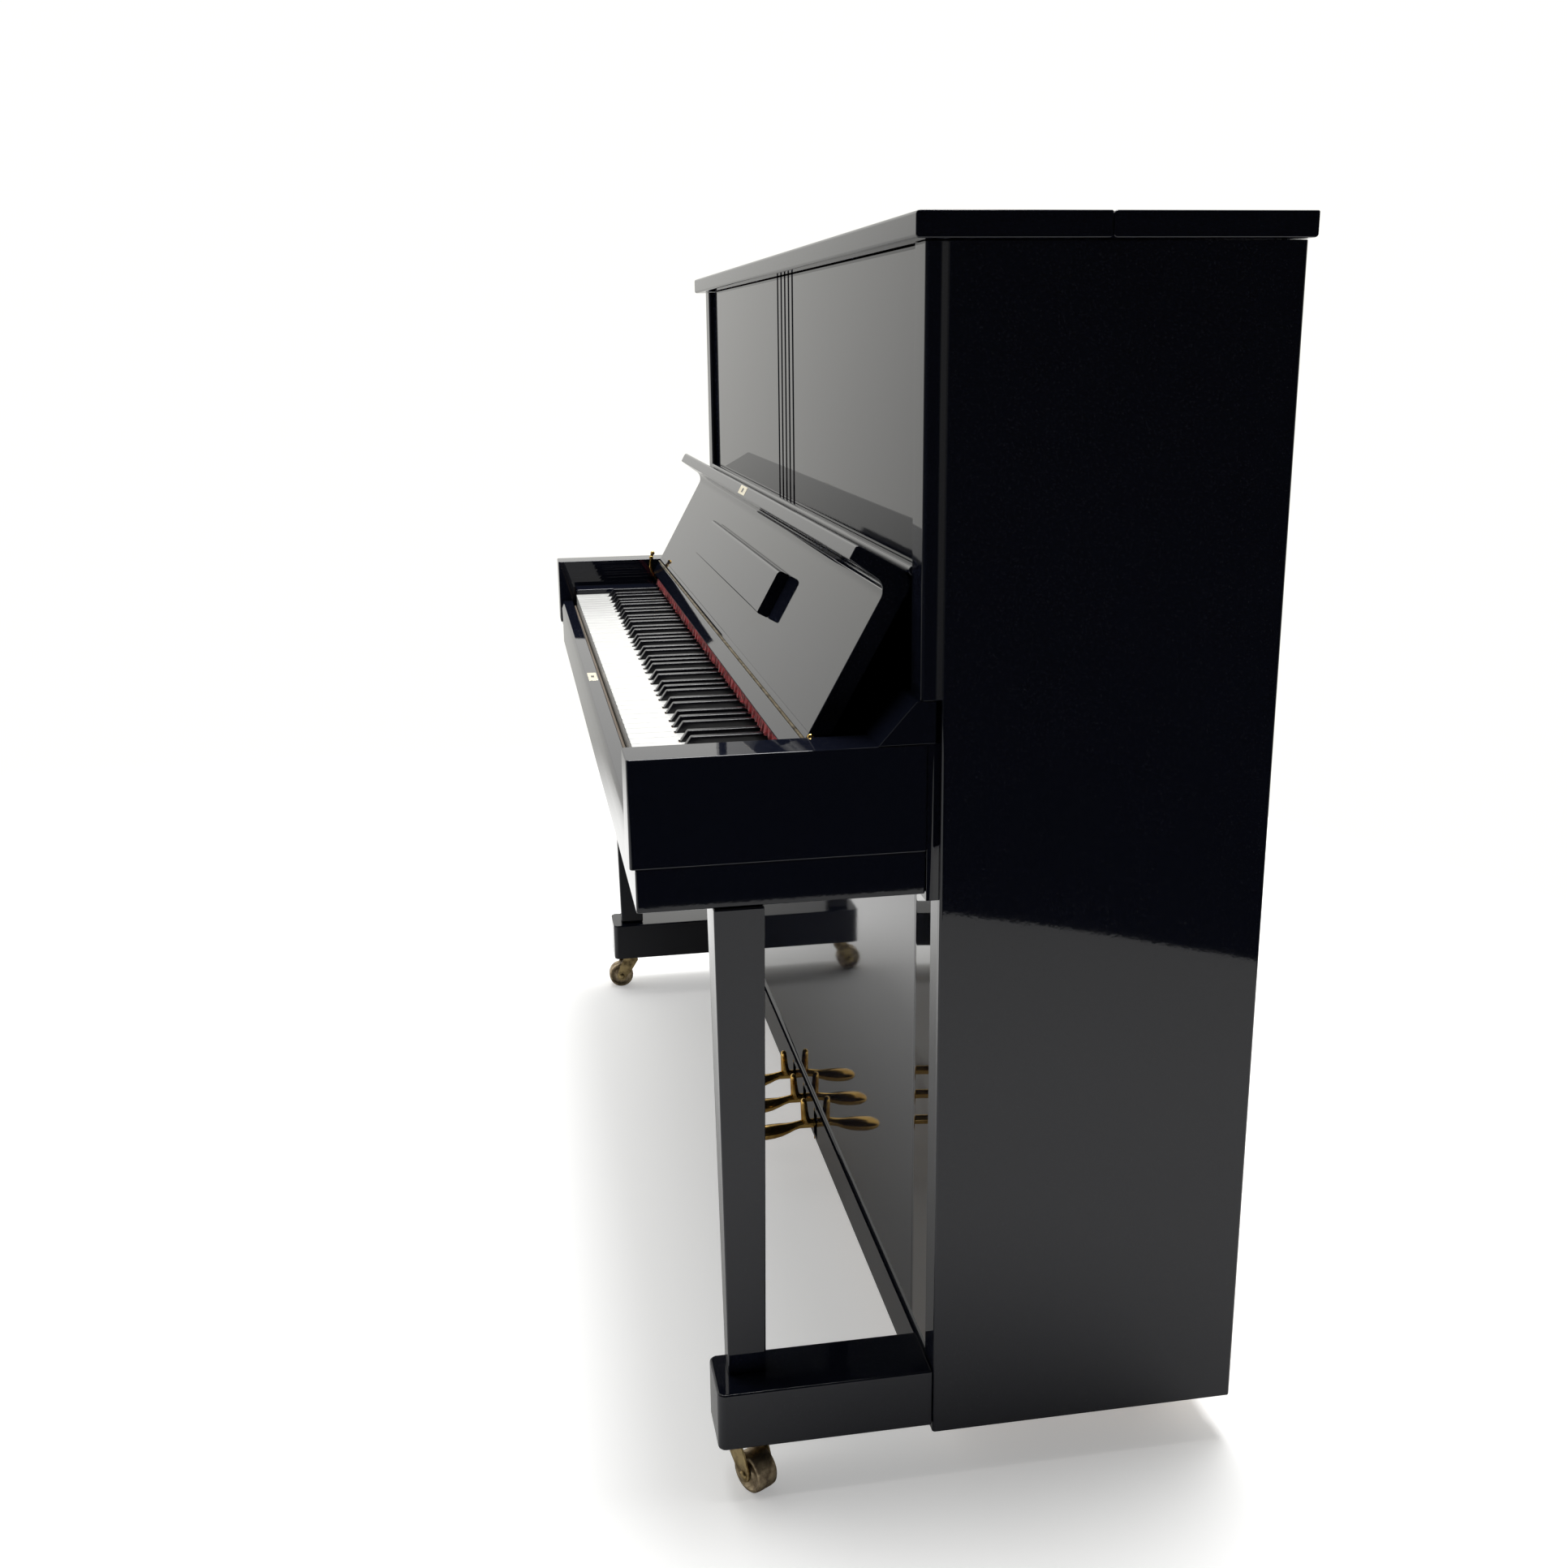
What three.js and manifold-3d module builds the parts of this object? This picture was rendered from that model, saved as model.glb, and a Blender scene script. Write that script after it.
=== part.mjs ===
// An upright piano in polished ebony with 88 keys. Millimetres, +Z up.
//
// The origin lies on the floor under the middle of the case. The player sits on the -Y side,
// and +X is the treble end. The case stands on four casters. The lid is shut, the fallboard is
// open and leans back, and the music shelf is folded flat against it.
import * as THREE from 'three';
import { mergeVertices } from 'three/addons/utils/BufferGeometryUtils.js';
import { ConvexGeometry } from 'three/addons/geometries/ConvexGeometry.js';
import Module from 'manifold-3d';

const wasm = await Module();
wasm.setup();

// ---------------------------------------------------------------- driving dimensions
const GAP = 0.3;                 // play between pieces that rest on each other

const CASE_HEIGHT = 1218;
const LID_WIDTH = 1464;
const SIDE_WIDTH = 1422;         // over the outer faces of the two sides
const SIDE_THICKNESS = 35;
const SIDE_FRONT = -18;
const BACK = 301;
const SIDE_BOTTOM = 52;

const LID_THICKNESS = 22;
const LID_FRONT = -52;
const LID_BACK = 299;
const LID_SPLIT = 116.35;        // where the front half folds back over the rear half

const ARM_WIDTH = 1416;
const ARM_THICKNESS = 50;
const ARM_FRONT = -301;
const ARM_BACK = -30;
const ARM_TOP = 767;
const KEYBED_TOP = 665.7;
const KEYBED_BOTTOM = 624;
const KEYBED_FRONT = -296;
const KEYBED_BACK = 110;

const POST_FRONT = -37;          // pilasters beside the upper panel
const POST_INNER = 668;
const PANEL_FRONT = -30;
const PANEL_BOTTOM = 922;
const GROOVE_COUNT = 5;
const GROOVE_PITCH = 25.7;

const LOWER_PANEL_FRONT = -14;
const LOWER_PANEL_HALF = 606;
const LOWER_PANEL_BOTTOM = 124;
const BOTTOM_BOARD_BOTTOM = 56;
const BOTTOM_BOARD_TOP = 66;

const TOE_INNER = 642;
const TOE_FRONT = -235;
const TOE_BOTTOM = 60;
const TOE_TOP = 123;

// The keyboard: 52 white keys at a pitch of 23.5 mm.
const WHITE_COUNT = 52;
const WHITE_PITCH = 23.5;
const KEYBOARD_HALF = WHITE_COUNT * WHITE_PITCH / 2;
const KEY_GAP = 1;
const KEY_TOP = 718;
const KEY_BOTTOM = 696;
const WHITE_FRONT = -275;
const BLACK_FRONT = -225;
const BLACK_BACK = -133;
const BLACK_TOP = 729.5;
const BLACK_WIDTH = 10.4;
const BLACK_PLAY = 0.9;          // between a black key and the white keys beside it
const KEY_BACK = 42;
const BLACK_OFFSETS = { 0: 21.2, 1: 49.3, 3: 90.6, 4: 117.5, 5: 144.4 };  // after white C D F G A
const FREE_OCTAVE_START = 23;    // white key index of middle C, the first key with its own hinge

// The fallboard. Its sizes are measured from the hinge axis, with the board upright.
const FALL_AXIS = new THREE.Vector2(-128, 768);
const FALL_LEAN = 29 * Math.PI / 180;
const FALL_HALF = 655;
const FALL_FACE = -2;
const FALL_THICKNESS = 20;
const COVE_BOTTOM = 140;
const COVE_RADIUS = 14;
const LIP_BOTTOM = 157.6;
const LIP_TOP = 172.5;
const LIP_FRONT = -45;
const NAME_RAIL_HALF = 654;

const PEDAL_PITCH = 79;

// ---------------------------------------------------------------- materials
const surface = (color, roughness, metalness = 0) =>
  new THREE.MeshStandardMaterial({ color, roughness, metalness });
const EBONY = surface(0x0a0b0e, 0.06);
const BRASS = surface(0xc9993f, 0.22, 1);
const OLD_BRASS = surface(0x8d7648, 0.42, 1);
const IVORY = surface(0xf1f1ee, 0.25);
const SHARP = surface(0x0d0d0f, 0.3);
const SPRUCE = surface(0xc9a26b, 0.6);
const BEECH = surface(0xb98d5c, 0.55);
const CAST_IRON = surface(0xa8873e, 0.4, 0.7);
const STEEL = surface(0xb9bcc0, 0.3, 1);
const RED_FELT = surface(0xa32024, 0.95);
const WHITE_FELT = surface(0xe4e0d4, 0.95);
const TYRE = surface(0x8c7a58, 0.4, 0.9);

// ---------------------------------------------------------------- shape helpers
const box = (x0, x1, y0, y1, z0, z1) =>
  new THREE.BoxGeometry(x1 - x0, y1 - y0, z1 - z0)
    .translate((x0 + x1) / 2, (y0 + y1) / 2, (z0 + z1) / 2);

const outline = (points) => new THREE.Shape(points.map(([u, v]) => new THREE.Vector2(u, v)));

const extrude = (shape, depth) =>
  new THREE.ExtrudeGeometry(shape, { depth, bevelEnabled: false, curveSegments: 6 });

// A plan outline in X and Y, raised from z0 to z1.
const raise = (shape, z0, z1) => extrude(shape, z1 - z0).translate(0, 0, z0);

// A side outline in Y and Z, drawn out along X from x0 to x1.
const alongX = (shape, x0, x1) => extrude(shape, x1 - x0)
  .applyMatrix4(new THREE.Matrix4().set(0, 0, 1, x0, 1, 0, 0, 0, 0, 1, 0, 0, 0, 0, 0, 1));

// A front outline in X and Z, drawn out along Y from y0 to y1.
const alongY = (shape, y0, y1) => extrude(shape, y1 - y0)
  .applyMatrix4(new THREE.Matrix4().set(1, 0, 0, 0, 0, 0, -1, y1, 0, 1, 0, 0, 0, 0, 0, 1));

// A rectangle in plan with its corners cut back.
const chamfered = (x0, x1, y0, y1, cut) => outline([
  [x0 + cut, y0], [x1 - cut, y0], [x1, y0 + cut], [x1, y1 - cut],
  [x1 - cut, y1], [x0 + cut, y1], [x0, y1 - cut], [x0, y0 + cut]]);

const mirrorX = (geometry) => {
  const copy = geometry.clone().scale(-1, 1, 1);
  const index = copy.index ?? new THREE.BufferAttribute(
    Uint32Array.from({ length: copy.attributes.position.count }, (_, i) => i), 1);
  const turned = Uint32Array.from(index.array);
  for (let i = 0; i < turned.length; i += 3) {
    [turned[i], turned[i + 1]] = [turned[i + 1], turned[i]];
  }
  return copy.setIndex(new THREE.BufferAttribute(turned, 1));
};

const toManifold = (geometry) => {
  const bare = geometry.clone();
  bare.deleteAttribute('normal');
  bare.deleteAttribute('uv');
  const merged = mergeVertices(bare, 1e-4);
  return new wasm.Manifold(new wasm.Mesh({
    numProp: 3,
    vertProperties: Float32Array.from(merged.attributes.position.array),
    triVerts: Uint32Array.from(merged.index.array),
  }));
};

const fromManifold = (solid) => {
  const mesh = solid.getMesh();
  const geometry = new THREE.BufferGeometry();
  geometry.setAttribute('position', new THREE.BufferAttribute(mesh.vertProperties, 3));
  geometry.setIndex(new THREE.BufferAttribute(mesh.triVerts, 1));
  geometry.computeVertexNormals();
  return geometry;
};

const join = (...geometries) =>
  fromManifold(geometries.map(toManifold).reduce((sum, next) => sum.add(next)));

const cut = (body, ...tools) =>
  fromManifold(tools.map(toManifold).reduce((rest, tool) => rest.subtract(tool), toManifold(body)));

const piano = new THREE.Group();
piano.name = 'upright_piano';

const add = (name, geometry, material, parent = piano) => {
  const mesh = new THREE.Mesh(geometry, material);
  mesh.name = name;
  parent.add(mesh);
  return mesh;
};

// Adds a piece for the treble end and its mirror image for the bass end.
const addPair = (name, geometry, material) => {
  add(`${name}_right`, geometry, material);
  add(`${name}_left`, mirrorX(geometry), material);
};

// ---------------------------------------------------------------- case
const LID_UNDERSIDE = CASE_HEIGHT - LID_THICKNESS;
const SIDE_INNER = SIDE_WIDTH / 2 - SIDE_THICKNESS;
const INNER_HALF = SIDE_INNER - GAP;    // half of what fits between the sides

// A side with the pilaster beside the upper panel, the tongue that the arm butts against,
// and the stile beside the lower panel, glued up as one piece.
function sidePanel() {
  const outer = SIDE_WIDTH / 2;
  const panel = raise(chamfered(SIDE_INNER, outer, SIDE_FRONT, BACK, 2),
    SIDE_BOTTOM, LID_UNDERSIDE - GAP);
  const pilaster = raise(chamfered(POST_INNER, 708, POST_FRONT, SIDE_FRONT + 6, 3),
    806.3, LID_UNDERSIDE - GAP);
  const tongue = box(SIDE_INNER, 704, ARM_BACK + 0.5, SIDE_FRONT + 6, KEYBED_BOTTOM - 7, 766.7);
  const stile = box(LOWER_PANEL_HALF + GAP, SIDE_INNER + 5, LOWER_PANEL_FRONT, 6,
    LOWER_PANEL_BOTTOM, KEYBED_BOTTOM - 4);
  return join(panel, pilaster, tongue, stile);
}
addPair('side_panel', sidePanel(), EBONY);

// The back: five posts between a bottom beam and a top beam.
function backFrame() {
  const [front, back] = [226, 300];
  const [postCount, postWidth, postPitch] = [5, 80, 317];
  const bays = Array.from({ length: postCount - 1 }, (_, i) => {
    const left = (i - (postCount - 1) / 2) * postPitch + postWidth / 2;
    return box(left, left + postPitch - postWidth, front - 1, back + 1, 160, 1090);
  });
  return cut(box(-INNER_HALF, INNER_HALF, front, back, BOTTOM_BOARD_TOP + GAP, 1190), ...bays);
}
add('back_frame', backFrame(), SPRUCE);
add('soundboard', box(-640, 640, 216, 225.7, 150, 1095), SPRUCE);
add('pin_block', box(-640, 640, 190.3, 225.7, 1100, 1185), BEECH);

// The cast-iron plate, with windows between its struts where the strings run over the bridges.
function ironPlate() {
  const [front, back] = [178, 190];
  const plate = outline([[-636, 130], [636, 130], [636, 700], [560, 1182], [-636, 1182]]);
  const struts = [[-590, -330], [-270, -60], [0, 230], [290, 520]];
  const windows = struts.map(([left, right]) => alongY(outline([
    [left, 230], [right, 230], [right, 960], [left, 1040]]), front - 1, back + 1));
  return cut(alongY(plate, front, back), ...windows);
}
add('iron_plate', ironPlate(), CAST_IRON);
add('strings', box(-600, 600, 170, 171.5, 200, 1120), STEEL);

add('bottom_board',
  box(-INNER_HALF, INNER_HALF, 6.3, 299, BOTTOM_BOARD_BOTTOM, BOTTOM_BOARD_TOP), SPRUCE);

// The bottom rail, with a slot for each pedal.
function bottomRail() {
  const [front, back] = [LOWER_PANEL_FRONT, 6];
  const slots = [-1, 0, 1].map((i) =>
    box(i * PEDAL_PITCH - 11, i * PEDAL_PITCH + 11, front - 1, back + 1, 60, 96));
  const [top, tongueFront] = [104.5, -2];
  const tongue = box(-INNER_HALF, INNER_HALF, tongueFront, back, top - 1, LOWER_PANEL_BOTTOM - GAP);
  return cut(join(box(-INNER_HALF, INNER_HALF, front, back, 55, top), tongue), ...slots);
}
add('bottom_rail', bottomRail(), EBONY);
add('lower_panel', box(-LOWER_PANEL_HALF, LOWER_PANEL_HALF, LOWER_PANEL_FRONT, 4,
  LOWER_PANEL_BOTTOM, KEYBED_BOTTOM - 4), EBONY);

// The upper panel, with five upright grooves at its middle.
function upperPanel() {
  const half = POST_INNER - GAP;
  const [grooveWidth, grooveDepth] = [3, 4];
  const front = [];
  for (let i = 0; i < GROOVE_COUNT; i += 1) {
    const centre = (i - (GROOVE_COUNT - 1) / 2) * GROOVE_PITCH;
    const [left, right] = [centre - grooveWidth / 2, centre + grooveWidth / 2];
    front.push([left, PANEL_FRONT], [left, PANEL_FRONT + grooveDepth],
      [right, PANEL_FRONT + grooveDepth], [right, PANEL_FRONT]);
  }
  const plan = [[-half, PANEL_FRONT], ...front, [half, PANEL_FRONT], [half, -12], [-half, -12]];
  return raise(outline(plan), PANEL_BOTTOM, LID_UNDERSIDE - 1);
}
add('upper_panel', upperPanel(), EBONY);

// The bead below the foot of the upper panel has a rounded nose.
function panelMoulding() {
  const [back, nose, middle, radius] = [-23.8, -34.5, 917.2, 4.5];
  const profile = new THREE.Shape();
  profile.moveTo(back, middle - radius);
  profile.lineTo(back, middle + radius);
  profile.lineTo(nose, middle + radius);
  profile.absarc(nose, middle, radius, Math.PI / 2, 3 * Math.PI / 2, false);
  profile.closePath();
  return alongX(profile, -POST_INNER + 1, POST_INNER - 1);
}
add('panel_moulding', panelMoulding(), EBONY);

// The lid: the front half folds back about the top edge of the split.
const lidHalf = LID_WIDTH / 2;
const lidBoard = (y0, y1) => alongX(outline([
  [y0 + 2, LID_UNDERSIDE], [y1 - 2, LID_UNDERSIDE], [y1, LID_UNDERSIDE + 2], [y1, CASE_HEIGHT],
  [y0 + 2, CASE_HEIGHT], [y0, CASE_HEIGHT - 2], [y0, LID_UNDERSIDE + 2]]), -lidHalf, lidHalf);
add('lid_front', lidBoard(LID_FRONT, LID_SPLIT - GAP / 2), EBONY);
add('lid_rear', lidBoard(LID_SPLIT + GAP / 2, LID_BACK), EBONY);

// ---------------------------------------------------------------- keybed, arms, legs and toes
function keybed() {
  const [wide, narrow] = [704, INNER_HALF];
  return raise(outline([
    [-wide, KEYBED_FRONT], [wide, KEYBED_FRONT], [wide, ARM_BACK], [narrow, ARM_BACK],
    [narrow, KEYBED_BACK], [-narrow, KEYBED_BACK], [-narrow, ARM_BACK], [-wide, ARM_BACK]]),
  KEYBED_BOTTOM, KEYBED_TOP);
}
add('keybed', keybed(), EBONY);

const armInner = ARM_WIDTH / 2 - ARM_THICKNESS;
addPair('arm', raise(chamfered(armInner, ARM_WIDTH / 2, ARM_FRONT, ARM_BACK, 2),
  KEYBED_TOP + GAP, ARM_TOP), EBONY);

// The rail behind the fallboard: a sloped front on the arms, a board up to the upper panel, and
// a shelf that covers the keys between the board and the fallboard's foot.
function fallRail() {
  const [shelfBottom, shelfTop] = [750, 755];
  const slope = alongX(outline([
    [-75.5, ARM_TOP + GAP], [-23, ARM_TOP + GAP], [-23, 806], [-41, 806]]),
  -ARM_WIDTH / 2, ARM_WIDTH / 2);
  const board = box(-POST_INNER + 1, POST_INNER - 1, -23.5, -11, shelfBottom, PANEL_BOTTOM - 2);
  const shelf = box(-NAME_RAIL_HALF, NAME_RAIL_HALF, -118, -23, shelfBottom, shelfTop);
  return join(slope, board, shelf);
}
add('fall_rail', fallRail(), EBONY);

// A leg tapers towards the toe, on its outer face and on its front.
function leg() {
  const corners = [];
  for (const [z, outer, front, back] of [
    [KEYBED_BOTTOM - GAP, 706, -227, -180], [TOE_TOP + GAP, 680, -220, -182]]) {
    for (const x of [655, outer]) {
      for (const y of [front, back]) corners.push(new THREE.Vector3(x, y, z));
    }
  }
  return new ConvexGeometry(corners);
}
addPair('leg', leg(), EBONY);

// A toe block has its front corners cut and butts square against the side.
function toeBlock() {
  const [outer, back, corner] = [SIDE_WIDTH / 2, SIDE_FRONT - GAP, 5];
  return raise(outline([
    [TOE_INNER + corner, TOE_FRONT], [outer - corner, TOE_FRONT], [outer, TOE_FRONT + corner],
    [outer, back], [TOE_INNER, back], [TOE_INNER, TOE_FRONT + corner]]), TOE_BOTTOM, TOE_TOP);
}
addPair('toe_block', toeBlock(), EBONY);

// ---------------------------------------------------------------- around the keys
const SLIP_TOP = 701.5;
add('key_slip', alongX(outline([
  [-299, KEYBED_TOP + GAP], [-280, KEYBED_TOP + GAP], [-280, SLIP_TOP], [-296, SLIP_TOP],
  [-299, SLIP_TOP - 8]]), -armInner + GAP, armInner - GAP), EBONY);

// The key frame: front rail with its strip, balance rail and back rail on three cross pieces.
function keyFrame() {
  const half = KEYBOARD_HALF;
  const bottom = KEYBED_TOP + GAP;
  const rail = (y0, y1, top) => box(-half, half, y0, y1, bottom, top);
  const cross = (x) => box(x - 20, x + 20, -270, 60, bottom, bottom + 8);
  return join(rail(-279.5, -235, 682), rail(-279.5, -277, 700), rail(-35, -5, 693.5),
    rail(45, 66, 688), cross(-560), cross(0), cross(560));
}
add('key_frame', keyFrame(), BEECH);

addPair('key_block', box(KEYBOARD_HALF + 0.6, armInner - GAP, -274, -60,
  KEYBED_TOP + GAP, KEY_TOP + 8), EBONY);

// The name rail stands behind the keys. Its face leans as the open fallboard does and overhangs
// the felt, and its back slopes away below the foot of the fallboard.
function nameRail() {
  const [faceFoot, faceTop, post, back] = [-143.8, -134.3, -133, -120];
  const [top, foot, bottom] = [762.4, 743, 726.3];
  return alongX(outline([[faceFoot, foot + 2.4], [faceFoot + 1.3, foot], [post, foot],
    [post, bottom], [back, bottom], [back, top - 5.4], [back - 9, top], [faceTop, top]]),
  -NAME_RAIL_HALF, NAME_RAIL_HALF);
}
add('name_rail', nameRail(), EBONY);
add('name_felt', box(-KEYBOARD_HALF, KEYBOARD_HALF, -142.5, -135.5, BLACK_TOP + 1.5, 742.7),
  RED_FELT);
add('hinge_strip', box(-NAME_RAIL_HALF, NAME_RAIL_HALF, -134.4, -130.5, 762.7, 764.6), BRASS);

// ---------------------------------------------------------------- fallboard and music shelf
const fallGroup = new THREE.Group();
fallGroup.position.set(0, FALL_AXIS.x, FALL_AXIS.y);
fallGroup.rotation.x = -FALL_LEAN;
piano.add(fallGroup);

// The board, its hollow cove and the lip that closes down over the key slip.
function fallboard() {
  const backFace = FALL_FACE + FALL_THICKNESS;
  const profile = new THREE.Shape();
  profile.moveTo(FALL_FACE, 0.8);
  profile.lineTo(backFace, 0.8);
  profile.lineTo(backFace, LIP_TOP - 14);
  profile.lineTo(backFace - 4, LIP_TOP - 4);
  profile.lineTo(backFace - 14, LIP_TOP);
  profile.lineTo(LIP_FRONT + 2, LIP_TOP);
  profile.lineTo(LIP_FRONT, LIP_TOP - 2);
  profile.lineTo(LIP_FRONT, LIP_BOTTOM);
  profile.lineTo(FALL_FACE - COVE_RADIUS, COVE_BOTTOM + COVE_RADIUS);
  profile.absarc(FALL_FACE - COVE_RADIUS, COVE_BOTTOM, COVE_RADIUS, Math.PI / 2, 0, true);
  profile.closePath();
  return alongX(profile, -FALL_HALF, FALL_HALF);
}
add('fallboard', fallboard(), EBONY, fallGroup);

const SHELF_HALF = 281;
const SHELF_BOTTOM = 53;
const SHELF_TOP = 107;
const SHELF_THICKNESS = 14;
add('music_shelf', alongX(outline([
  [FALL_FACE - GAP, SHELF_BOTTOM], [FALL_FACE - GAP, SHELF_TOP],
  [FALL_FACE - SHELF_THICKNESS + 3, SHELF_TOP], [FALL_FACE - SHELF_THICKNESS, SHELF_TOP - 3],
  [FALL_FACE - SHELF_THICKNESS, SHELF_BOTTOM]]), -SHELF_HALF, SHELF_HALF), EBONY, fallGroup);

// ---------------------------------------------------------------- keys
const NOTES_OF_WHITE = ['C', 'D', 'E', 'F', 'G', 'A', 'B'];

// Each white key knows its place in the octave (0 for C). The lowest white key is an A.
const degreeOf = (white) => (white + 5) % 7;
const octaveEdge = (white) => -KEYBOARD_HALF + (white - degreeOf(white)) * WHITE_PITCH;

// The middle of the black key above a white key, or undefined where there is none.
function blackCentre(white) {
  const offset = BLACK_OFFSETS[degreeOf(white)];
  const exists = offset !== undefined && white >= 0 && white < WHITE_COUNT - 1;
  return exists ? octaveEdge(white) + offset : undefined;
}

function whiteKey(white, back) {
  const left = -KEYBOARD_HALF + white * WHITE_PITCH + KEY_GAP / 2;
  const right = left + WHITE_PITCH - KEY_GAP;
  const reach = BLACK_WIDTH / 2 + BLACK_PLAY;
  const blackLeft = blackCentre(white - 1);
  const blackRight = blackCentre(white);
  const headBack = BLACK_FRONT - 1;
  const plan = [[left, WHITE_FRONT], [right, WHITE_FRONT]];
  const tailRight = blackRight === undefined ? right : blackRight - reach;
  const tailLeft = blackLeft === undefined ? left : blackLeft + reach;
  if (blackRight !== undefined) plan.push([right, headBack], [tailRight, headBack]);
  plan.push([tailRight, back], [tailLeft, back]);
  if (blackLeft !== undefined) plan.push([tailLeft, headBack], [left, headBack]);
  return raise(outline(plan), KEY_BOTTOM, KEY_TOP);
}

function blackKey(white) {
  const centre = blackCentre(white);
  return alongX(outline([
    [BLACK_FRONT, KEY_BOTTOM], [KEY_BACK, KEY_BOTTOM], [KEY_BACK, KEY_TOP - 1],
    [BLACK_BACK, KEY_TOP - 1], [BLACK_BACK, BLACK_TOP], [BLACK_FRONT + 7, BLACK_TOP - 0.5],
    [BLACK_FRONT, KEY_TOP + 1]]), centre - BLACK_WIDTH / 2, centre + BLACK_WIDTH / 2);
}

const isFree = (white) => white >= FREE_OCTAVE_START && white < FREE_OCTAVE_START + 7;
const whites = Array.from({ length: WHITE_COUNT }, (_, white) => white);
const blacks = whites.filter((white) => blackCentre(white) !== undefined);

// The keys outside the free octave are two sets, each on a bar of its own.
const whiteBar = box(-KEYBOARD_HALF, KEYBOARD_HALF, 48, 62, KEY_BOTTOM, KEY_TOP);
add('white_keys', join(whiteBar,
  ...whites.filter((white) => !isFree(white)).map((white) => whiteKey(white, 60))), IVORY);
const blackBar = box(-KEYBOARD_HALF + 10, KEYBOARD_HALF - 10, 24, 38, KEY_BOTTOM - 5, KEY_BOTTOM - 0.6);
const blackFoot = (white) => box(blackCentre(white) - 4, blackCentre(white) + 4, 24, 38,
  KEY_BOTTOM - 5, KEY_BOTTOM + 5);
add('black_keys', join(blackBar, ...blacks.filter((white) => !isFree(white))
  .flatMap((white) => [blackKey(white), blackFoot(white)])), SHARP);

for (const white of whites.filter(isFree)) {
  const note = NOTES_OF_WHITE[degreeOf(white)];
  add(`key_${note}4`, whiteKey(white, KEY_BACK), IVORY);
  if (blackCentre(white) !== undefined) add(`key_${note}s4`, blackKey(white), SHARP);
}

// ---------------------------------------------------------------- action
function actionFrame() {
  const [half, width] = [624, 8];
  const bottom = KEYBED_TOP + GAP;
  const bracket = (x) => alongX(outline([
    [20, bottom], [100, bottom], [112, 800], [112, 1030], [96, 1030], [60, 830], [20, 700]]),
  x, x + width);
  return join(bracket(-half), bracket(half - width), box(-half, half, 82, 108, 780, 806));
}
add('action_frame', actionFrame(), BEECH);

const NOTE_COUNT = 88;
function hammerSet() {
  const pitch = 1180 / (NOTE_COUNT - 1);
  const hammers = Array.from({ length: NOTE_COUNT }, (_, note) => {
    const x = (note - (NOTE_COUNT - 1) / 2) * pitch;
    return alongX(outline([[62, 852], [69, 852], [69, 992], [104, 992], [104, 1014], [62, 1014]]),
      x - 4, x + 4);
  });
  return join(box(-606, 606, 58, 74, 842, 858), ...hammers);
}
add('hammers', hammerSet(), WHITE_FELT);
add('dampers', box(-600, 430, 132, 164, 930, 962), WHITE_FELT);
add('mute_rail', box(-610, 610, 140, 144, 1042, 1082), RED_FELT);

// ---------------------------------------------------------------- pedals
function pedal() {
  const shank = alongX(outline([
    [70, 72], [70, 87], [-20, 87], [-25, 90], [-27, 118], [-32.5, 118], [-35, 90],
    [-44, 85], [-62, 82], [-80, 80], [-80, 65], [-62, 66], [-40, 72], [-20, 72]]), -6, 6);
  const toe = new THREE.Shape();
  toe.moveTo(-8, -52);
  toe.lineTo(-13.5, -82);
  toe.absarc(0, -90, 14.2, Math.PI, 2 * Math.PI, false);
  toe.lineTo(13.5, -82);
  toe.lineTo(8, -52);
  toe.closePath();
  return join(shank, raise(toe, 64, 80.5));
}
for (const [i, side] of ['left', 'middle', 'right'].entries()) {
  add(`pedal_${side}`, pedal(), BRASS).position.x = (i - 1) * PEDAL_PITCH;
}

// ---------------------------------------------------------------- casters
const WHEEL_RADIUS = 21;
const WHEEL_WIDTH = 24;
const TRAIL = 18;                // from the swivel to the axle
const AXLE_RADIUS = 3;

// A fork from its swivel axis: the top disc, the bridge, two raked arms and the axle pin.
function fork(top) {
  const [armGap, armWidth] = [WHEEL_WIDTH / 2 + 1.3, 3];
  const arm = (y) => alongY(outline([
    [-12, top - 3], [-12, top - 9], [TRAIL - 7, WHEEL_RADIUS - 7], [TRAIL + 7, WHEEL_RADIUS - 5],
    [TRAIL + 8, WHEEL_RADIUS + 4], [14, top - 9], [14, top - 3]]), y, y + armWidth);
  const disc = new THREE.CylinderGeometry(17, 17, 4, 16).rotateX(Math.PI / 2)
    .translate(0, 0, top - 2);
  const bridge = box(-12, 14, -armGap - armWidth, armGap + armWidth, top - 9, top - 3);
  const pin = new THREE.CylinderGeometry(AXLE_RADIUS, AXLE_RADIUS, 2 * armGap + armWidth, 10)
    .translate(TRAIL, 0, WHEEL_RADIUS);
  return join(disc, bridge, arm(armGap), arm(-armGap - armWidth), pin);
}

// The wheel is turned about its axle, with a slightly crowned tread.
function wheel() {
  const half = WHEEL_WIDTH / 2;
  const bore = AXLE_RADIUS + 0.4;
  const profile = [[bore, -half], [WHEEL_RADIUS - 3, -half], [WHEEL_RADIUS, -half + 4],
    [WHEEL_RADIUS, half - 4], [WHEEL_RADIUS - 3, half], [bore, half], [bore, -half]];
  return new THREE.LatheGeometry(profile.map(([r, h]) => new THREE.Vector2(r, h)), 20);
}

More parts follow.
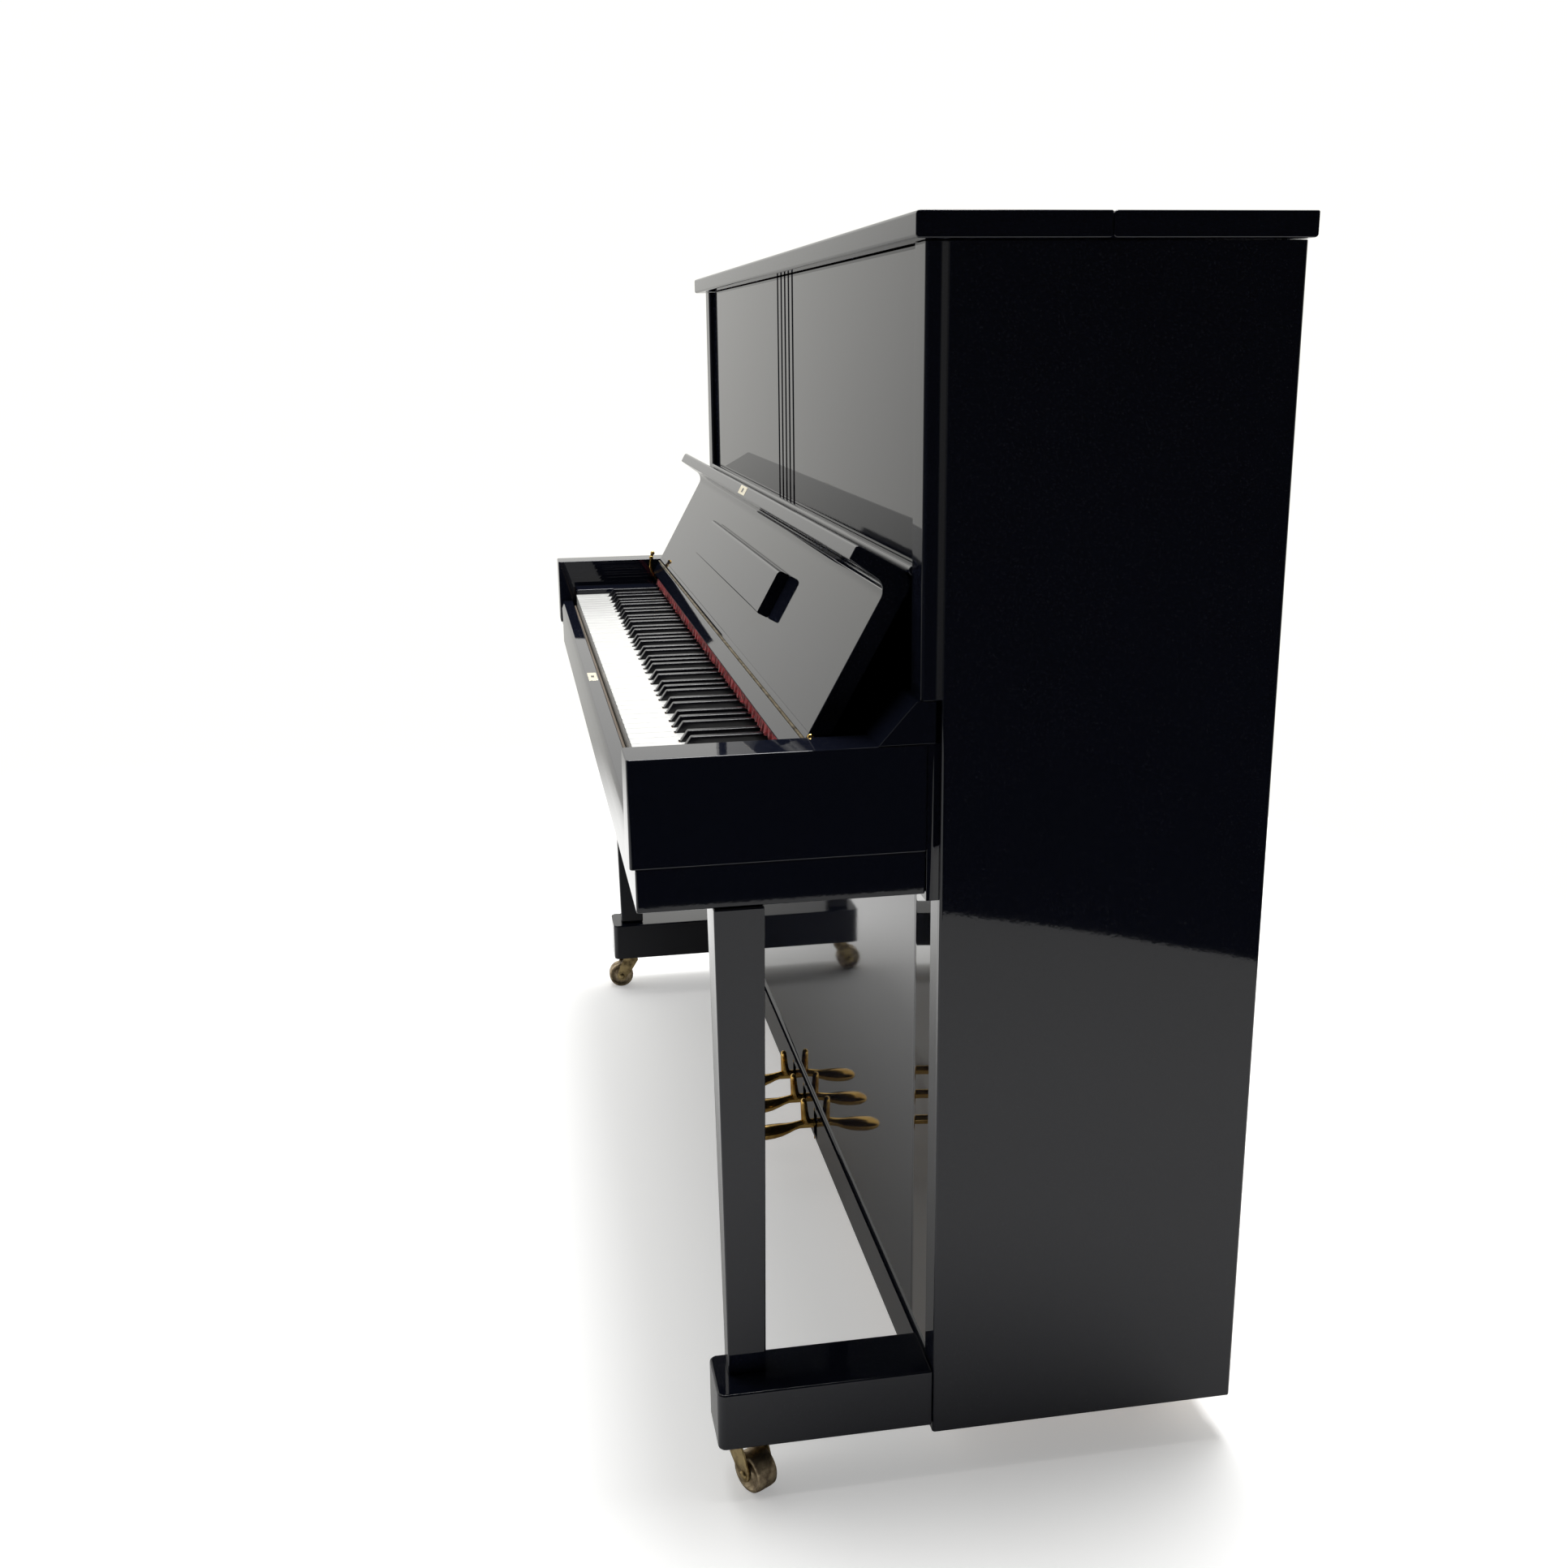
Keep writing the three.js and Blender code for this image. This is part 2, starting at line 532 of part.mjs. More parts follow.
// Each caster rests as the last push left it, its wheel trailing at its own angle.
const casterSpots = [
  ['front_right', 676, -205, 30, TOE_BOTTOM], ['front_left', -676, -205, -90, TOE_BOTTOM],
  ['rear_right', 600, 240, 60, BOTTOM_BOARD_BOTTOM], ['rear_left', -600, 240, 90, BOTTOM_BOARD_BOTTOM]];
for (const [place, x, y, degrees, seat] of casterSpots) {
  const swivel = new THREE.Group();
  swivel.position.set(x, y, 0);
  swivel.rotation.z = degrees * Math.PI / 180;
  piano.add(swivel);
  add(`caster_${place}_fork`, fork(seat - GAP), OLD_BRASS, swivel);
  add(`caster_${place}_wheel`, wheel(), TYRE, swivel).position.set(TRAIL, 0, WHEEL_RADIUS);
}

export default piano;
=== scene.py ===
# %% [markdown]
# # An upright piano in polished ebony
# A piano case is a set of flat boards with a thick, hard, mirror-bright lacquer. Nearly all of
# its character lies in what the boards reflect and in the thin bright line where each edge is
# eased. The boards come from a measured frame, in metres, with the origin on the floor under
# the middle of the case, +X towards the treble end and -Y towards the player.

# %% The measured frame
import math

import bmesh
import bpy
from mathutils import Matrix, Vector


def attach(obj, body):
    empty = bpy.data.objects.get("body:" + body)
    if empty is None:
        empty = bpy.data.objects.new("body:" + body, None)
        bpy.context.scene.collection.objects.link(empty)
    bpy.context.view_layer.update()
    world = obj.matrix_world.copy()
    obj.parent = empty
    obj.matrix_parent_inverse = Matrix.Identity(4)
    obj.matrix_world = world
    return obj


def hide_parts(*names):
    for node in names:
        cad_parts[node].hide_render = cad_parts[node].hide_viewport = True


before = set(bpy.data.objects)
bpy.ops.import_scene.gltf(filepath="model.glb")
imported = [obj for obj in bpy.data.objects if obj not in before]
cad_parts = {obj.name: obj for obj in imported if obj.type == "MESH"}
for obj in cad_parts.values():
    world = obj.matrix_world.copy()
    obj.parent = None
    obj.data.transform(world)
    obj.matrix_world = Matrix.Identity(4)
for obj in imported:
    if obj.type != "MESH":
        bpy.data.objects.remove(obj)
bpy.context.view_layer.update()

MM = 0.001
scene = bpy.context.scene

# %% [markdown]
# ## The camera
# The eye stands beyond the treble end, a little in front of the case and just under the height
# of the lid. A camera looks down its own -Z, so three turns aim it: the tilt and the yaw, then
# a slight roll about its own axis.

# %% Camera
EYE = Vector((2.0787, -0.4001, 1.1157))
YAW, TILT, ROLL = (math.radians(a) for a in (80.13, 15.19, -0.69))
camera = bpy.data.objects.new("camera", bpy.data.cameras.new("camera"))
camera.data.sensor_width, camera.data.lens = 36.0, 37.35
camera.matrix_world = (Matrix.Translation(EYE) @ Matrix.Rotation(YAW, 4, "Z")
                       @ Matrix.Rotation(math.pi / 2 - TILT, 4, "X")
                       @ Matrix.Rotation(ROLL, 4, "Z"))
scene.collection.objects.link(camera)
scene.camera = camera
print("camera at", tuple(round(c, 3) for c in EYE))

# %% [markdown]
# ## Shader arithmetic
# A finish is a small graph of nodes. Written as plain expressions it is easier to read, so one
# class wraps an output socket and turns + - * into Math nodes. A second class holds a material
# and has one method for every other kind of node.

# %% Sockets and finishes
class Signal:
    """One value in a material, which arithmetic turns into Math nodes."""

    def __init__(self, finish, socket):
        self.finish, self.socket = finish, socket

    def calculate(self, operation, first, second=0.0):
        return self.finish.node("Math", {"operation": operation}, {0: first, 1: second})

    def __add__(self, other):
        return self.calculate("ADD", self, other)

    def __mul__(self, other):
        return self.calculate("MULTIPLY", self, other)

    def __sub__(self, other):
        return self.calculate("SUBTRACT", self, other)

    def __rsub__(self, other):
        return self.calculate("SUBTRACT", other, self)

    __radd__, __rmul__ = __add__, __mul__

    def rise(self, start, end):
        """0 below start, 1 above end, and a soft step between them."""
        return self.finish.node("MapRange", {"interpolation_type": "SMOOTHSTEP"},
                                {0: self, 1: start, 2: end})


class Finish:
    """A material in the making. Keywords set constants on the shader itself."""

    def __init__(self, name, **constants):
        self.material = bpy.data.materials.new(name)
        self.material.use_nodes = True
        self.nodes, self.links = self.material.node_tree.nodes, self.material.node_tree.links
        self.shader = self.nodes["Principled BSDF"]
        for label, value in constants.items():
            self.shader.inputs[label.replace("_", " ")].default_value = value

    def plug(self, socket, value):
        if isinstance(value, Signal):
            self.links.new(value.socket, socket)
        else:
            socket.default_value = value

    def node(self, kind, settings=None, sockets=None, output=0):
        made = self.nodes.new("ShaderNode" + kind)
        for key, value in (settings or {}).items():
            setattr(made, key, value)
        for key, value in (sockets or {}).items():
            self.plug(made.inputs[key], value)
        return Signal(self, made.outputs[output])

    def place(self, stretch=(1, 1, 1), turn=(0, 0, 0)):
        """Object coordinates in metres, stretched and turned for a pattern."""
        spot = self.node("TexCoord", output="Object")
        return self.node("Mapping", None, {"Vector": spot, "Scale": stretch, "Rotation": turn})

    def noise(self, scale, detail=3.0, rough=0.5, where=None):
        return self.node("TexNoise", None, {"Vector": where or self.place(), "Scale": scale,
                                            "Detail": detail, "Roughness": rough})

    def blend(self, factor, first, second):
        colours = [(*c, 1) if isinstance(c, tuple) else c for c in (first, second)]
        return self.node("Mix", {"data_type": "RGBA"},
                         {0: factor, 6: colours[0], 7: colours[1]}, output=2)

    def wear(self, colour=None, roughness=None, height=None, strength=0.1, depth=0.0002):
        """Feeds the varying colour and roughness, and a bump of that height."""
        if colour is not None:
            self.plug(self.shader.inputs["Base Color"], colour)
        if roughness is not None:
            self.plug(self.shader.inputs["Roughness"], roughness)
        if height is not None:
            bump = self.node("Bump", None, {"Height": height, "Strength": strength,
                                            "Distance": depth}, output="Normal")
            self.plug(self.shader.inputs["Normal"], bump)
        print("finish", self.material.name, "with", len(self.nodes), "nodes")
        return self.material

# %% [markdown]
# ## Black polyester lacquer
# The lacquer is sprayed thick, cut flat and buffed on a wheel. It keeps a trace of orange peel
# a few millimetres across, a slow waviness of the board under it, faint buffing haze and some
# dust. The colour is blue-black. These could be painted as an image, but noise in object space
# needs no seams and has the same scale on every board.

# %% Ebony lacquer
def lacquer_finish():
    finish = Finish("ebony_lacquer", IOR=1.42)
    cloud = finish.noise(2.5, 4, 0.6)
    haze = finish.noise(9, 5, 0.7).rise(0.5, 0.8)
    swirl = finish.noise(260, 2, 0.5, finish.place((1, 0.12, 1), (0.3, 0.2, 0.9)))
    dust = finish.noise(1500, 1, 0.4).rise(0.70, 0.76)
    colour = finish.blend(cloud, (0.0034, 0.0042, 0.0088), (0.0056, 0.0068, 0.0130))
    colour = finish.blend(dust * 0.35, colour, (0.10, 0.10, 0.095))
    peel = finish.noise(240, 2, 0.5) + finish.noise(14, 1, 0.3) * 4.0
    return finish.wear(colour, 0.018 + haze * 0.03 + swirl * 0.022 + dust * 0.2, peel, 0.035)


LACQUER = lacquer_finish()

# %% [markdown]
# ## Key coverings
# The white keys have acrylic tops with a soft polish, dulled a little along the middle where
# fingers land, over sticks of spruce. The sharps are moulded in satin black phenolic, with a
# fine brushed grain along their length.

# %% Key coverings
def white_key_finish():
    finish = Finish("white_key_acrylic", IOR=1.49)
    tone = finish.noise(30, 3, 0.6)
    touch = finish.noise(90, 4, 0.6, finish.place((1, 0.25, 1)))
    colour = finish.blend(tone, (0.60, 0.60, 0.595), (0.54, 0.54, 0.525))
    return finish.wear(colour, 0.12 + touch * 0.16, finish.noise(420, 2) + touch, 0.05)


def black_key_finish():
    finish = Finish("black_key_phenolic", IOR=1.38)
    brushed = finish.noise(900, 3, 0.6, finish.place((1, 0.04, 1)))
    rubbed = finish.noise(45, 3, 0.5).rise(0.4, 0.7)
    colour = finish.blend(rubbed, (0.003, 0.003, 0.005), (0.006, 0.006, 0.009))
    return finish.wear(colour, 0.20 + brushed * 0.10 - rubbed * 0.06, brushed, 0.10)


WHITE_KEY, BLACK_KEY = white_key_finish(), black_key_finish()

# %% [markdown]
# ## Timber
# Spruce has straight, fine, even rings, and beech is closer and pinker with short dark flecks.
# Rings are noise drawn out along the grain, so each board's grain follows its length. The
# soundboard's grain is turned across its own board, as it is on the real one.

# %% Timber
def timber_finish(name, pale, dark, stretch, turn=(0, 0, 0), gloss=0.5):
    finish = Finish(name, IOR=1.48)
    where = finish.place(stretch, turn)
    rings = finish.noise(150, 2, 0.45, where)
    drift = finish.noise(14, 3, 0.5, where)
    flecks = finish.noise(900, 2, 0.6, where).rise(0.58, 0.7)
    colour = finish.blend((rings + drift - 0.5).rise(0.3, 0.72), pale, dark)
    colour = finish.blend(flecks * 0.3, colour, tuple(c * 0.55 for c in dark))
    return finish.wear(colour, gloss + rings * 0.16, rings + flecks * 0.5, 0.25, 0.0004)


PALE_SPRUCE, DARK_SPRUCE = (0.60, 0.41, 0.22), (0.43, 0.26, 0.12)
ACROSS, UPRIGHT = (0.03, 1, 1), (1, 1, 0.03)
SPRUCE_POST = timber_finish("spruce_upright", PALE_SPRUCE, DARK_SPRUCE, UPRIGHT)
SPRUCE_BOARD = timber_finish("spruce_across", PALE_SPRUCE, DARK_SPRUCE, ACROSS)
SOUNDBOARD = timber_finish("soundboard_spruce", (0.70, 0.46, 0.20), (0.55, 0.33, 0.13), ACROSS,
                           (0, math.radians(42), 0), 0.28)
BEECH = timber_finish("beech_across", (0.17, 0.13, 0.095), (0.10, 0.075, 0.05), ACROSS)
BEECH_POST = timber_finish("beech_upright", (0.42, 0.26, 0.15), (0.27, 0.15, 0.08), UPRIGHT)

# %% [markdown]
# ## Metals
# The pedals and fittings are polished brass that has tarnished where feet don't rub it. The
# casters are older and browner. The plate is rough cast iron under bronze paint, and strings
# and pins are bright steel.

# %% Metals
def metal_finish(name, bright, dull, gloss, spread, scale, grain=0.1):
    finish = Finish(name, Metallic=1.0)
    stain = finish.noise(scale, 4, 0.62).rise(0.35, 0.72)
    scuff = finish.noise(scale * 14, 3, 0.6, finish.place((1, 0.2, 1), (0.5, 0.1, 0.7)))
    colour = finish.blend(stain, bright, dull)
    return finish.wear(colour, gloss + stain * spread + scuff * 0.07, scuff + stain, grain)


BRASS = metal_finish("polished_brass", (0.66, 0.43, 0.13), (0.38, 0.22, 0.06),
                     0.06, 0.10, 34, 0.05)
OLD_BRASS = metal_finish("aged_brass", (0.46, 0.35, 0.17), (0.16, 0.115, 0.06),
                         0.26, 0.28, 90, 0.3)
# The hinge barrel's brass is painted nearly black: painted shade, for a hinge that lies in shadow.
SHADE_DARKENED_BRASS = metal_finish("brass_with_painted_shade", (0.20, 0.155, 0.08), (0.035, 0.028, 0.018),
                          0.3, 0.3, 60, 0.3)
WORN_TREAD = metal_finish("worn_tread", (0.50, 0.40, 0.26), (0.20, 0.15, 0.10),
                          0.34, 0.24, 120, 0.4)
NICKEL = metal_finish("pale_lock_plate", (0.90, 0.85, 0.70), (0.78, 0.70, 0.54),
                      0.34, 0.14, 140)
STEEL = metal_finish("steel_wire", (0.62, 0.63, 0.65), (0.42, 0.42, 0.44), 0.2, 0.16, 60)
COPPER = metal_finish("copper_winding", (0.75, 0.36, 0.20), (0.40, 0.18, 0.10), 0.28, 0.2, 60)
BRONZE_PAINT = metal_finish("bronze_painted_iron", (0.52, 0.37, 0.14), (0.42, 0.29, 0.11),
                            0.38, 0.1, 22, 0.35)

# %% [markdown]
# ## Felt
# Felt is matted wool with no weave. A fine fuzz of noise breaks up its surface, a coarser one
# varies the dye, and a little sheen catches light along its edges.

# %% Felt
def felt_finish(name, light, dark):
    finish = Finish(name, Sheen_Weight=0.35, Sheen_Roughness=0.5)
    fuzz = finish.noise(2600, 3, 0.7)
    dye = finish.noise(120, 4, 0.6)
    colour = finish.blend(dye.rise(0.36, 0.64), light, dark)
    return finish.wear(colour, 0.86 + fuzz * 0.12, fuzz + dye, 0.6, 0.0005)


RED_FELT = felt_finish("red_felt", (0.58, 0.035, 0.045), (0.15, 0.004, 0.008))
WHITE_FELT = felt_finish("white_felt", (0.80, 0.77, 0.70), (0.62, 0.58, 0.50))

# %% [markdown]
# ## Helpers for pieces
# Shapes are drawn in millimetres and come to metres when a piece is finished. Each board of
# the case is a copy of its measured solid: the loose triangles are welded and merged back into
# flat faces, then every outer edge gets a small radius. A modifier would do it live, but the
# operators keep the result in the mesh. Weighted normals keep the flats flat and let only the
# arris catch the light.

# %% Making and finishing a piece
SHARP = math.radians(25)
ALONG_X, ALONG_Y, ALONG_Z = Vector((1, 0, 0)), Vector((0, 1, 0)), Vector((0, 0, 1))


def welded(node):
    """The measured solid as a mesh to work on."""
    bm = bmesh.new()
    bm.from_mesh(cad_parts[node].data)
    bmesh.ops.scale(bm, vec=(1 / MM, 1 / MM, 1 / MM), verts=bm.verts)
    bmesh.ops.remove_doubles(bm, verts=bm.verts, dist=0.01)
    bmesh.ops.dissolve_limit(bm, angle_limit=math.radians(0.5), verts=bm.verts, edges=bm.edges)
    return bm


def ease(bm, radius, segments=2, edges=None):
    """Rounds the outer edges of a solid, or the given edges."""
    if edges is None:
        edges = [e for e in bm.edges if e.is_convex and e.calc_face_angle(0) > SHARP]
    bmesh.ops.bevel(bm, geom=edges, offset=radius, offset_type="OFFSET", segments=segments,
                    profile=0.5, affect="EDGES", clamp_overlap=True, material=-1)


def edges_along(bm, direction, keep=lambda middle: True):
    """The sharp edges that run along a direction and whose middle passes a test."""
    return [e for e in bm.edges
            if abs((e.verts[1].co - e.verts[0].co).normalized().dot(direction)) > 0.999
            and e.calc_face_angle(0) > SHARP and keep((e.verts[0].co + e.verts[1].co) / 2)]


def draw_out(bm, faces, along):
    """Extrudes flat faces along a vector into a solid."""
    grown = bmesh.ops.extrude_face_region(bm, geom=faces)["geom"]
    bmesh.ops.translate(bm, vec=along,
                        verts=[g for g in grown if isinstance(g, bmesh.types.BMVert)])


def prism(bm, corners, along, material=0):
    """A solid from one flat face drawn out along a vector. Returns its vertices."""
    old_verts, old_faces = set(bm.verts), set(bm.faces)
    draw_out(bm, [bm.faces.new([bm.verts.new(c) for c in corners])], along)
    for side in set(bm.faces) - old_faces:
        side.material_index = material
    return [v for v in bm.verts if v not in old_verts]


def block(bm, x, y, z, material=0):
    """A rectangular solid from its ranges in x, y and z."""
    corners = [(x[0], y[0], z[0]), (x[1], y[0], z[0]), (x[1], y[1], z[0]), (x[0], y[1], z[0])]
    return prism(bm, corners, ALONG_Z * (z[1] - z[0]), material)


def trim(bm, spot, away):
    """Cuts off what lies beyond a plane and returns the cut."""
    return bmesh.ops.bisect_plane(bm, geom=bm.verts[:] + bm.edges[:] + bm.faces[:],
                                  plane_co=spot, plane_no=away, clear_outer=True)["geom_cut"]


def turned(bm, profile, spot, direction=ALONG_Z, steps=20, material=0):
    """A solid of revolution from (radius, height) pairs, its axis through spot."""
    old_verts, old_faces = set(bm.verts), set(bm.faces)
    verts = [bm.verts.new((r, 0, h)) for r, h in profile]
    edges = [bm.edges.new(pair) for pair in zip(verts, verts[1:])]
    bmesh.ops.spin(bm, geom=verts + edges, cent=(0, 0, 0), axis=(0, 0, 1), steps=steps,
                   angle=2 * math.pi, use_merge=True)
    made = [v for v in bm.verts if v not in old_verts]
    aim = direction.to_track_quat("Z", "Y").to_matrix().to_4x4()
    bmesh.ops.transform(bm, matrix=Matrix.Translation(spot) @ aim, verts=made)
    bmesh.ops.remove_doubles(bm, verts=made, dist=0.001)
    for side in set(bm.faces) - old_faces:
        side.material_index = material


def lofted(bm, stations, sides=16):
    """A solid through oval rings: each station is a middle, a half width, a half height and a
    heading. Neighbouring rings are bridged and the two ends closed."""
    rings = []
    for middle, half_width, half_height, heading in stations:
        aim = Vector(heading).to_track_quat("Z", "X").to_matrix().to_4x4()
        size = Matrix.Diagonal((half_height, half_width, 1, 1))
        rings.append(bmesh.ops.create_circle(
            bm, segments=sides, radius=1, matrix=Matrix.Translation(middle) @ aim @ size)["verts"])
    loops = [list({e for v in ring for e in v.link_edges}) for ring in rings]
    for first, second in zip(loops, loops[1:]):
        bmesh.ops.bridge_loops(bm, edges=first + second)
    for ring in (rings[0], rings[-1]):
        bm.faces.new(ring)


def piece(bm, name, body, materials, stands_for=()):
    """Turns the mesh into an object in metres that moves with a body."""
    bmesh.ops.recalc_face_normals(bm, faces=bm.faces)
    bmesh.ops.scale(bm, vec=(MM, MM, MM), verts=bm.verts)
    mesh = bpy.data.meshes.new(name)
    bm.to_mesh(mesh)
    bm.free()
    mesh.shade_smooth()
    for material in materials:
        mesh.materials.append(material)
    made = bpy.data.objects.new(name, mesh)
    scene.collection.objects.link(made)
    made.modifiers.new("flats", "WEIGHTED_NORMAL")
    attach(made, body)
    if stands_for:
        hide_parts(*stands_for)
    print(name, len(mesh.polygons), "faces, on", body)
    return made

# %% [markdown]
# ## The boards of the case
# Sides, lid, panels, keybed, arms, rails, legs and toe blocks. The lacquer is thick, so its
# edges are round: about 1 mm on thin parts and up to 2.5 mm on the arms and the sides. The
# grooves of the upper panel are flutes, wider at the mouth than at the foot, so their slopes
# turn away from the bright side of the room and draw dark lines.

# %% Lacquered boards
BOARDS = {"side_panel_left": 2.2, "side_panel_right": 2.2, "lid_rear": 1.6, "upper_panel": 0.35,
          "lower_panel": 1.2, "bottom_rail": 1.2, "keybed": 2.0, "arm_left": 2.4, "arm_right": 2.4,
          "fall_rail": 1.6, "leg_left": 2.0, "leg_right": 2.0, "toe_block_left": 2.5,
          "toe_block_right": 2.5, "key_slip": 1.0, "key_block_left": 1.5, "key_block_right": 1.5,
          "name_rail": 1.0, "panel_moulding": 0.8}
PANEL_FACE, GROOVE_PITCH, GROOVE_MOUTH = -30, 25.7, 5.2
RAIL_END, STAY_ROOM = -654, 3


def make_room_for_stay(bm):
    """Draws a rail's end back at the bass side, where the brass stay swings past it."""
    for vert in bm.verts:
        if abs(vert.co.x - RAIL_END) < 0.01:
            vert.co.x += STAY_ROOM


def open_grooves(bm):
    """Slopes the walls of the panel's grooves outwards from their feet to a wide mouth."""
    for vert in bm.verts:
        if abs(vert.co.x) < 60 and abs(vert.co.y - PANEL_FACE) < 0.01:
            middle = round(vert.co.x / GROOVE_PITCH) * GROOVE_PITCH
            vert.co.x = middle + math.copysign(GROOVE_MOUTH, vert.co.x - middle)


for node, radius in BOARDS.items():
    bm = welded(node)
    if node == "upper_panel":
        open_grooves(bm)
    if node in ("name_rail", "fall_rail"):
        make_room_for_stay(bm)
    ease(bm, radius)
    piece(bm, node + "_board", "case", [LACQUER], [node])

bm = welded("lid_front")
ease(bm, 1.6)
piece(bm, "lid_front_board", "lid_front", [LACQUER], ["lid_front"])

# %% [markdown]
# ## Fallboard and music shelf
# The fallboard is a wide board with a hollow cove under a lip. Its outer corners are rounded
# so that they don't chip or catch a sleeve. The music shelf lies folded on its face, with its
# four long edges well rounded. Both are drawn in the leaning plane that the hinge sets.

# %% Fallboard and shelf
LEAN = math.radians(29)
FALL_UP = Vector((0, math.sin(LEAN), math.cos(LEAN)))      # up the face of the open board
FALL_OUT = Vector((0, -math.cos(LEAN), math.sin(LEAN)))    # out of its face, to the player
FALL_PIVOT = Vector((0, -128, 768))


def on_board(x, out, up):
    """A point on the open fallboard: along it, out of its face, and up from the hinge."""
    return FALL_PIVOT + ALONG_X * x + FALL_OUT * out + FALL_UP * up


bm = welded("fallboard")
ease(bm, 11, 5, edges_along(bm, FALL_OUT, lambda m: (m - FALL_PIVOT).dot(FALL_UP) > 100
                            and (m - FALL_PIVOT).dot(FALL_OUT) < 3))
ease(bm, 1.3)
piece(bm, "fallboard_panel", "fallboard", [LACQUER], ["fallboard"])

bm = welded("music_shelf")
ease(bm, 4, 4, edges_along(bm, ALONG_X))
ease(bm, 1.0)
piece(bm, "music_shelf_board", "music_shelf", [LACQUER], ["music_shelf"])

# %% [markdown]
# ## The white keys
# Each white key is a spruce stick with an acrylic cover that turns down over its front. The
# cover overhangs by a little over a millimetre, and the tail is cut away beside the sharps. A
# key is drawn as its plan and raised, first the stick and then the cover.

# %% White keys
PITCH, KEY_FRONT, HEAD_BACK = 23.5, -275, -226
WHITES = 52
KEYS_LEFT = -WHITES * PITCH / 2
STICK_TOP, COVER_TOP, KEY_FOOT = 715.6, 718, 696
SHARP_HALF, SHARP_PLAY = 5.2, 0.9
SHARP_SPOTS = {0: 21.2, 1: 49.3, 3: 90.6, 4: 117.5, 5: 144.4}    # after C D F G A, from C's left
FREE_WHITES = range(23, 30)                                     # the octave from middle C
NOTES = "CDEFGAB"


def degree(white):
    """The place in the octave, 0 for C. The lowest white key is an A."""
    return (white + 5) % 7


def sharp_middle(white):
    """The middle of the sharp above a white key, or None where there is none."""
    spot = SHARP_SPOTS.get(degree(white))
    if spot is None or not 0 <= white < WHITES - 1:
        return None
    return KEYS_LEFT + (white - degree(white)) * PITCH + spot


def white_plan(white, front, back, inset=0.0):
    """The outline of a white key seen from above."""
    left, right = (KEYS_LEFT + (white + i) * PITCH + side * (0.5 + inset)
                   for i, side in ((0, 1), (1, -1)))
    before, after = sharp_middle(white - 1), sharp_middle(white)
    plan = [(left, front), (right, front)]
    tail_left, tail_right = left, right
    if after is not None:
        tail_right = after - SHARP_HALF - SHARP_PLAY - inset
        plan += [(right, HEAD_BACK - inset), (tail_right, HEAD_BACK - inset)]
    if before is not None:
        tail_left = before + SHARP_HALF + SHARP_PLAY + inset
    plan += [(tail_right, back), (tail_left, back)]
    if before is not None:
        plan += [(tail_left, HEAD_BACK - inset), (left, HEAD_BACK - inset)]
    return plan


def white_key(bm, white, back):
    stick = white_plan(white, KEY_FRONT + 0.8, back, 0.3)
    prism(bm, [(x, y, KEY_FOOT) for x, y in stick], ALONG_Z * (STICK_TOP - KEY_FOOT), 1)
    cover = white_plan(white, KEY_FRONT - 0.7, back)
    prism(bm, [(x, y, STICK_TOP) for x, y in cover], ALONG_Z * (COVER_TOP - STICK_TOP))
    left = KEYS_LEFT + white * PITCH + 1
    block(bm, (left, left + PITCH - 2), (KEY_FRONT - 0.4, KEY_FRONT + 0.8),
          (KEY_FOOT + 1, STICK_TOP))


def round_covers(bm):
    """Rounds the top edges of the covers."""
    top = [e for e in bm.edges if all(v.co.z > COVER_TOP - 0.01 for v in e.verts)]
    ease(bm, 0.7, 2, top)


bm = bmesh.new()
for white in range(WHITES):
    if white not in FREE_WHITES:
        white_key(bm, white, 60)
round_covers(bm)
piece(bm, "white_key_set", "case", [WHITE_KEY, SPRUCE_BOARD], ["white_keys"])
for white in FREE_WHITES:
    bm = bmesh.new()
    white_key(bm, white, 42)
    round_covers(bm)
    node = f"key_{NOTES[degree(white)]}4"
    piece(bm, node + "_key", node, [WHITE_KEY, SPRUCE_BOARD], [node])

# %% [markdown]
# ## The sharps
# A sharp narrows towards its top and slopes down at the front. It is a side profile drawn
# across, pinched at the top, and its upper edges are rounded so that each carries a thin line
# of light.

# %% Black keys
SHARP_FRONT, SHARP_BACK, SHARP_TOP = -225, -133, 729.5


def black_key(bm, middle):
    foot, top = COVER_TOP - 5, SHARP_TOP
    profile = [(SHARP_FRONT, foot), (SHARP_BACK, foot), (SHARP_BACK, top),
               (SHARP_FRONT + 8.5, top), (SHARP_FRONT + 0.6, COVER_TOP + 0.5)]
    made = prism(bm, [(middle - SHARP_HALF, y, z) for y, z in profile], ALONG_X * 2 * SHARP_HALF)
    for vert in made:
        if vert.co.z > COVER_TOP + 1:
            vert.co.x = middle + (vert.co.x - middle) * 0.84
    crown = [e for e in {e for v in made for e in v.link_edges}
             if all(v.co.z > COVER_TOP and v.co.y < SHARP_BACK - 1 for v in e.verts)
             or all(v.co.z > COVER_TOP + 1 for v in e.verts)]
    ease(bm, 1.3, 3, crown)
    block(bm, (middle - 4.6, middle + 4.6), (SHARP_FRONT + 1, 42), (KEY_FOOT, foot), 1)
    block(bm, (middle - 4.6, middle + 4.6), (SHARP_BACK, 42), (foot, COVER_TOP - 1), 1)


bm = bmesh.new()
for white in range(WHITES):
    if sharp_middle(white) is not None and white not in FREE_WHITES:
        black_key(bm, sharp_middle(white))
piece(bm, "black_key_set", "case", [BLACK_KEY, SPRUCE_BOARD], ["black_keys"])
for white in FREE_WHITES:
    if sharp_middle(white) is not None:
        bm = bmesh.new()
        black_key(bm, sharp_middle(white))
        node = f"key_{NOTES[degree(white)]}s4"
        piece(bm, node + "_key", node, [BLACK_KEY, SPRUCE_BOARD], [node])

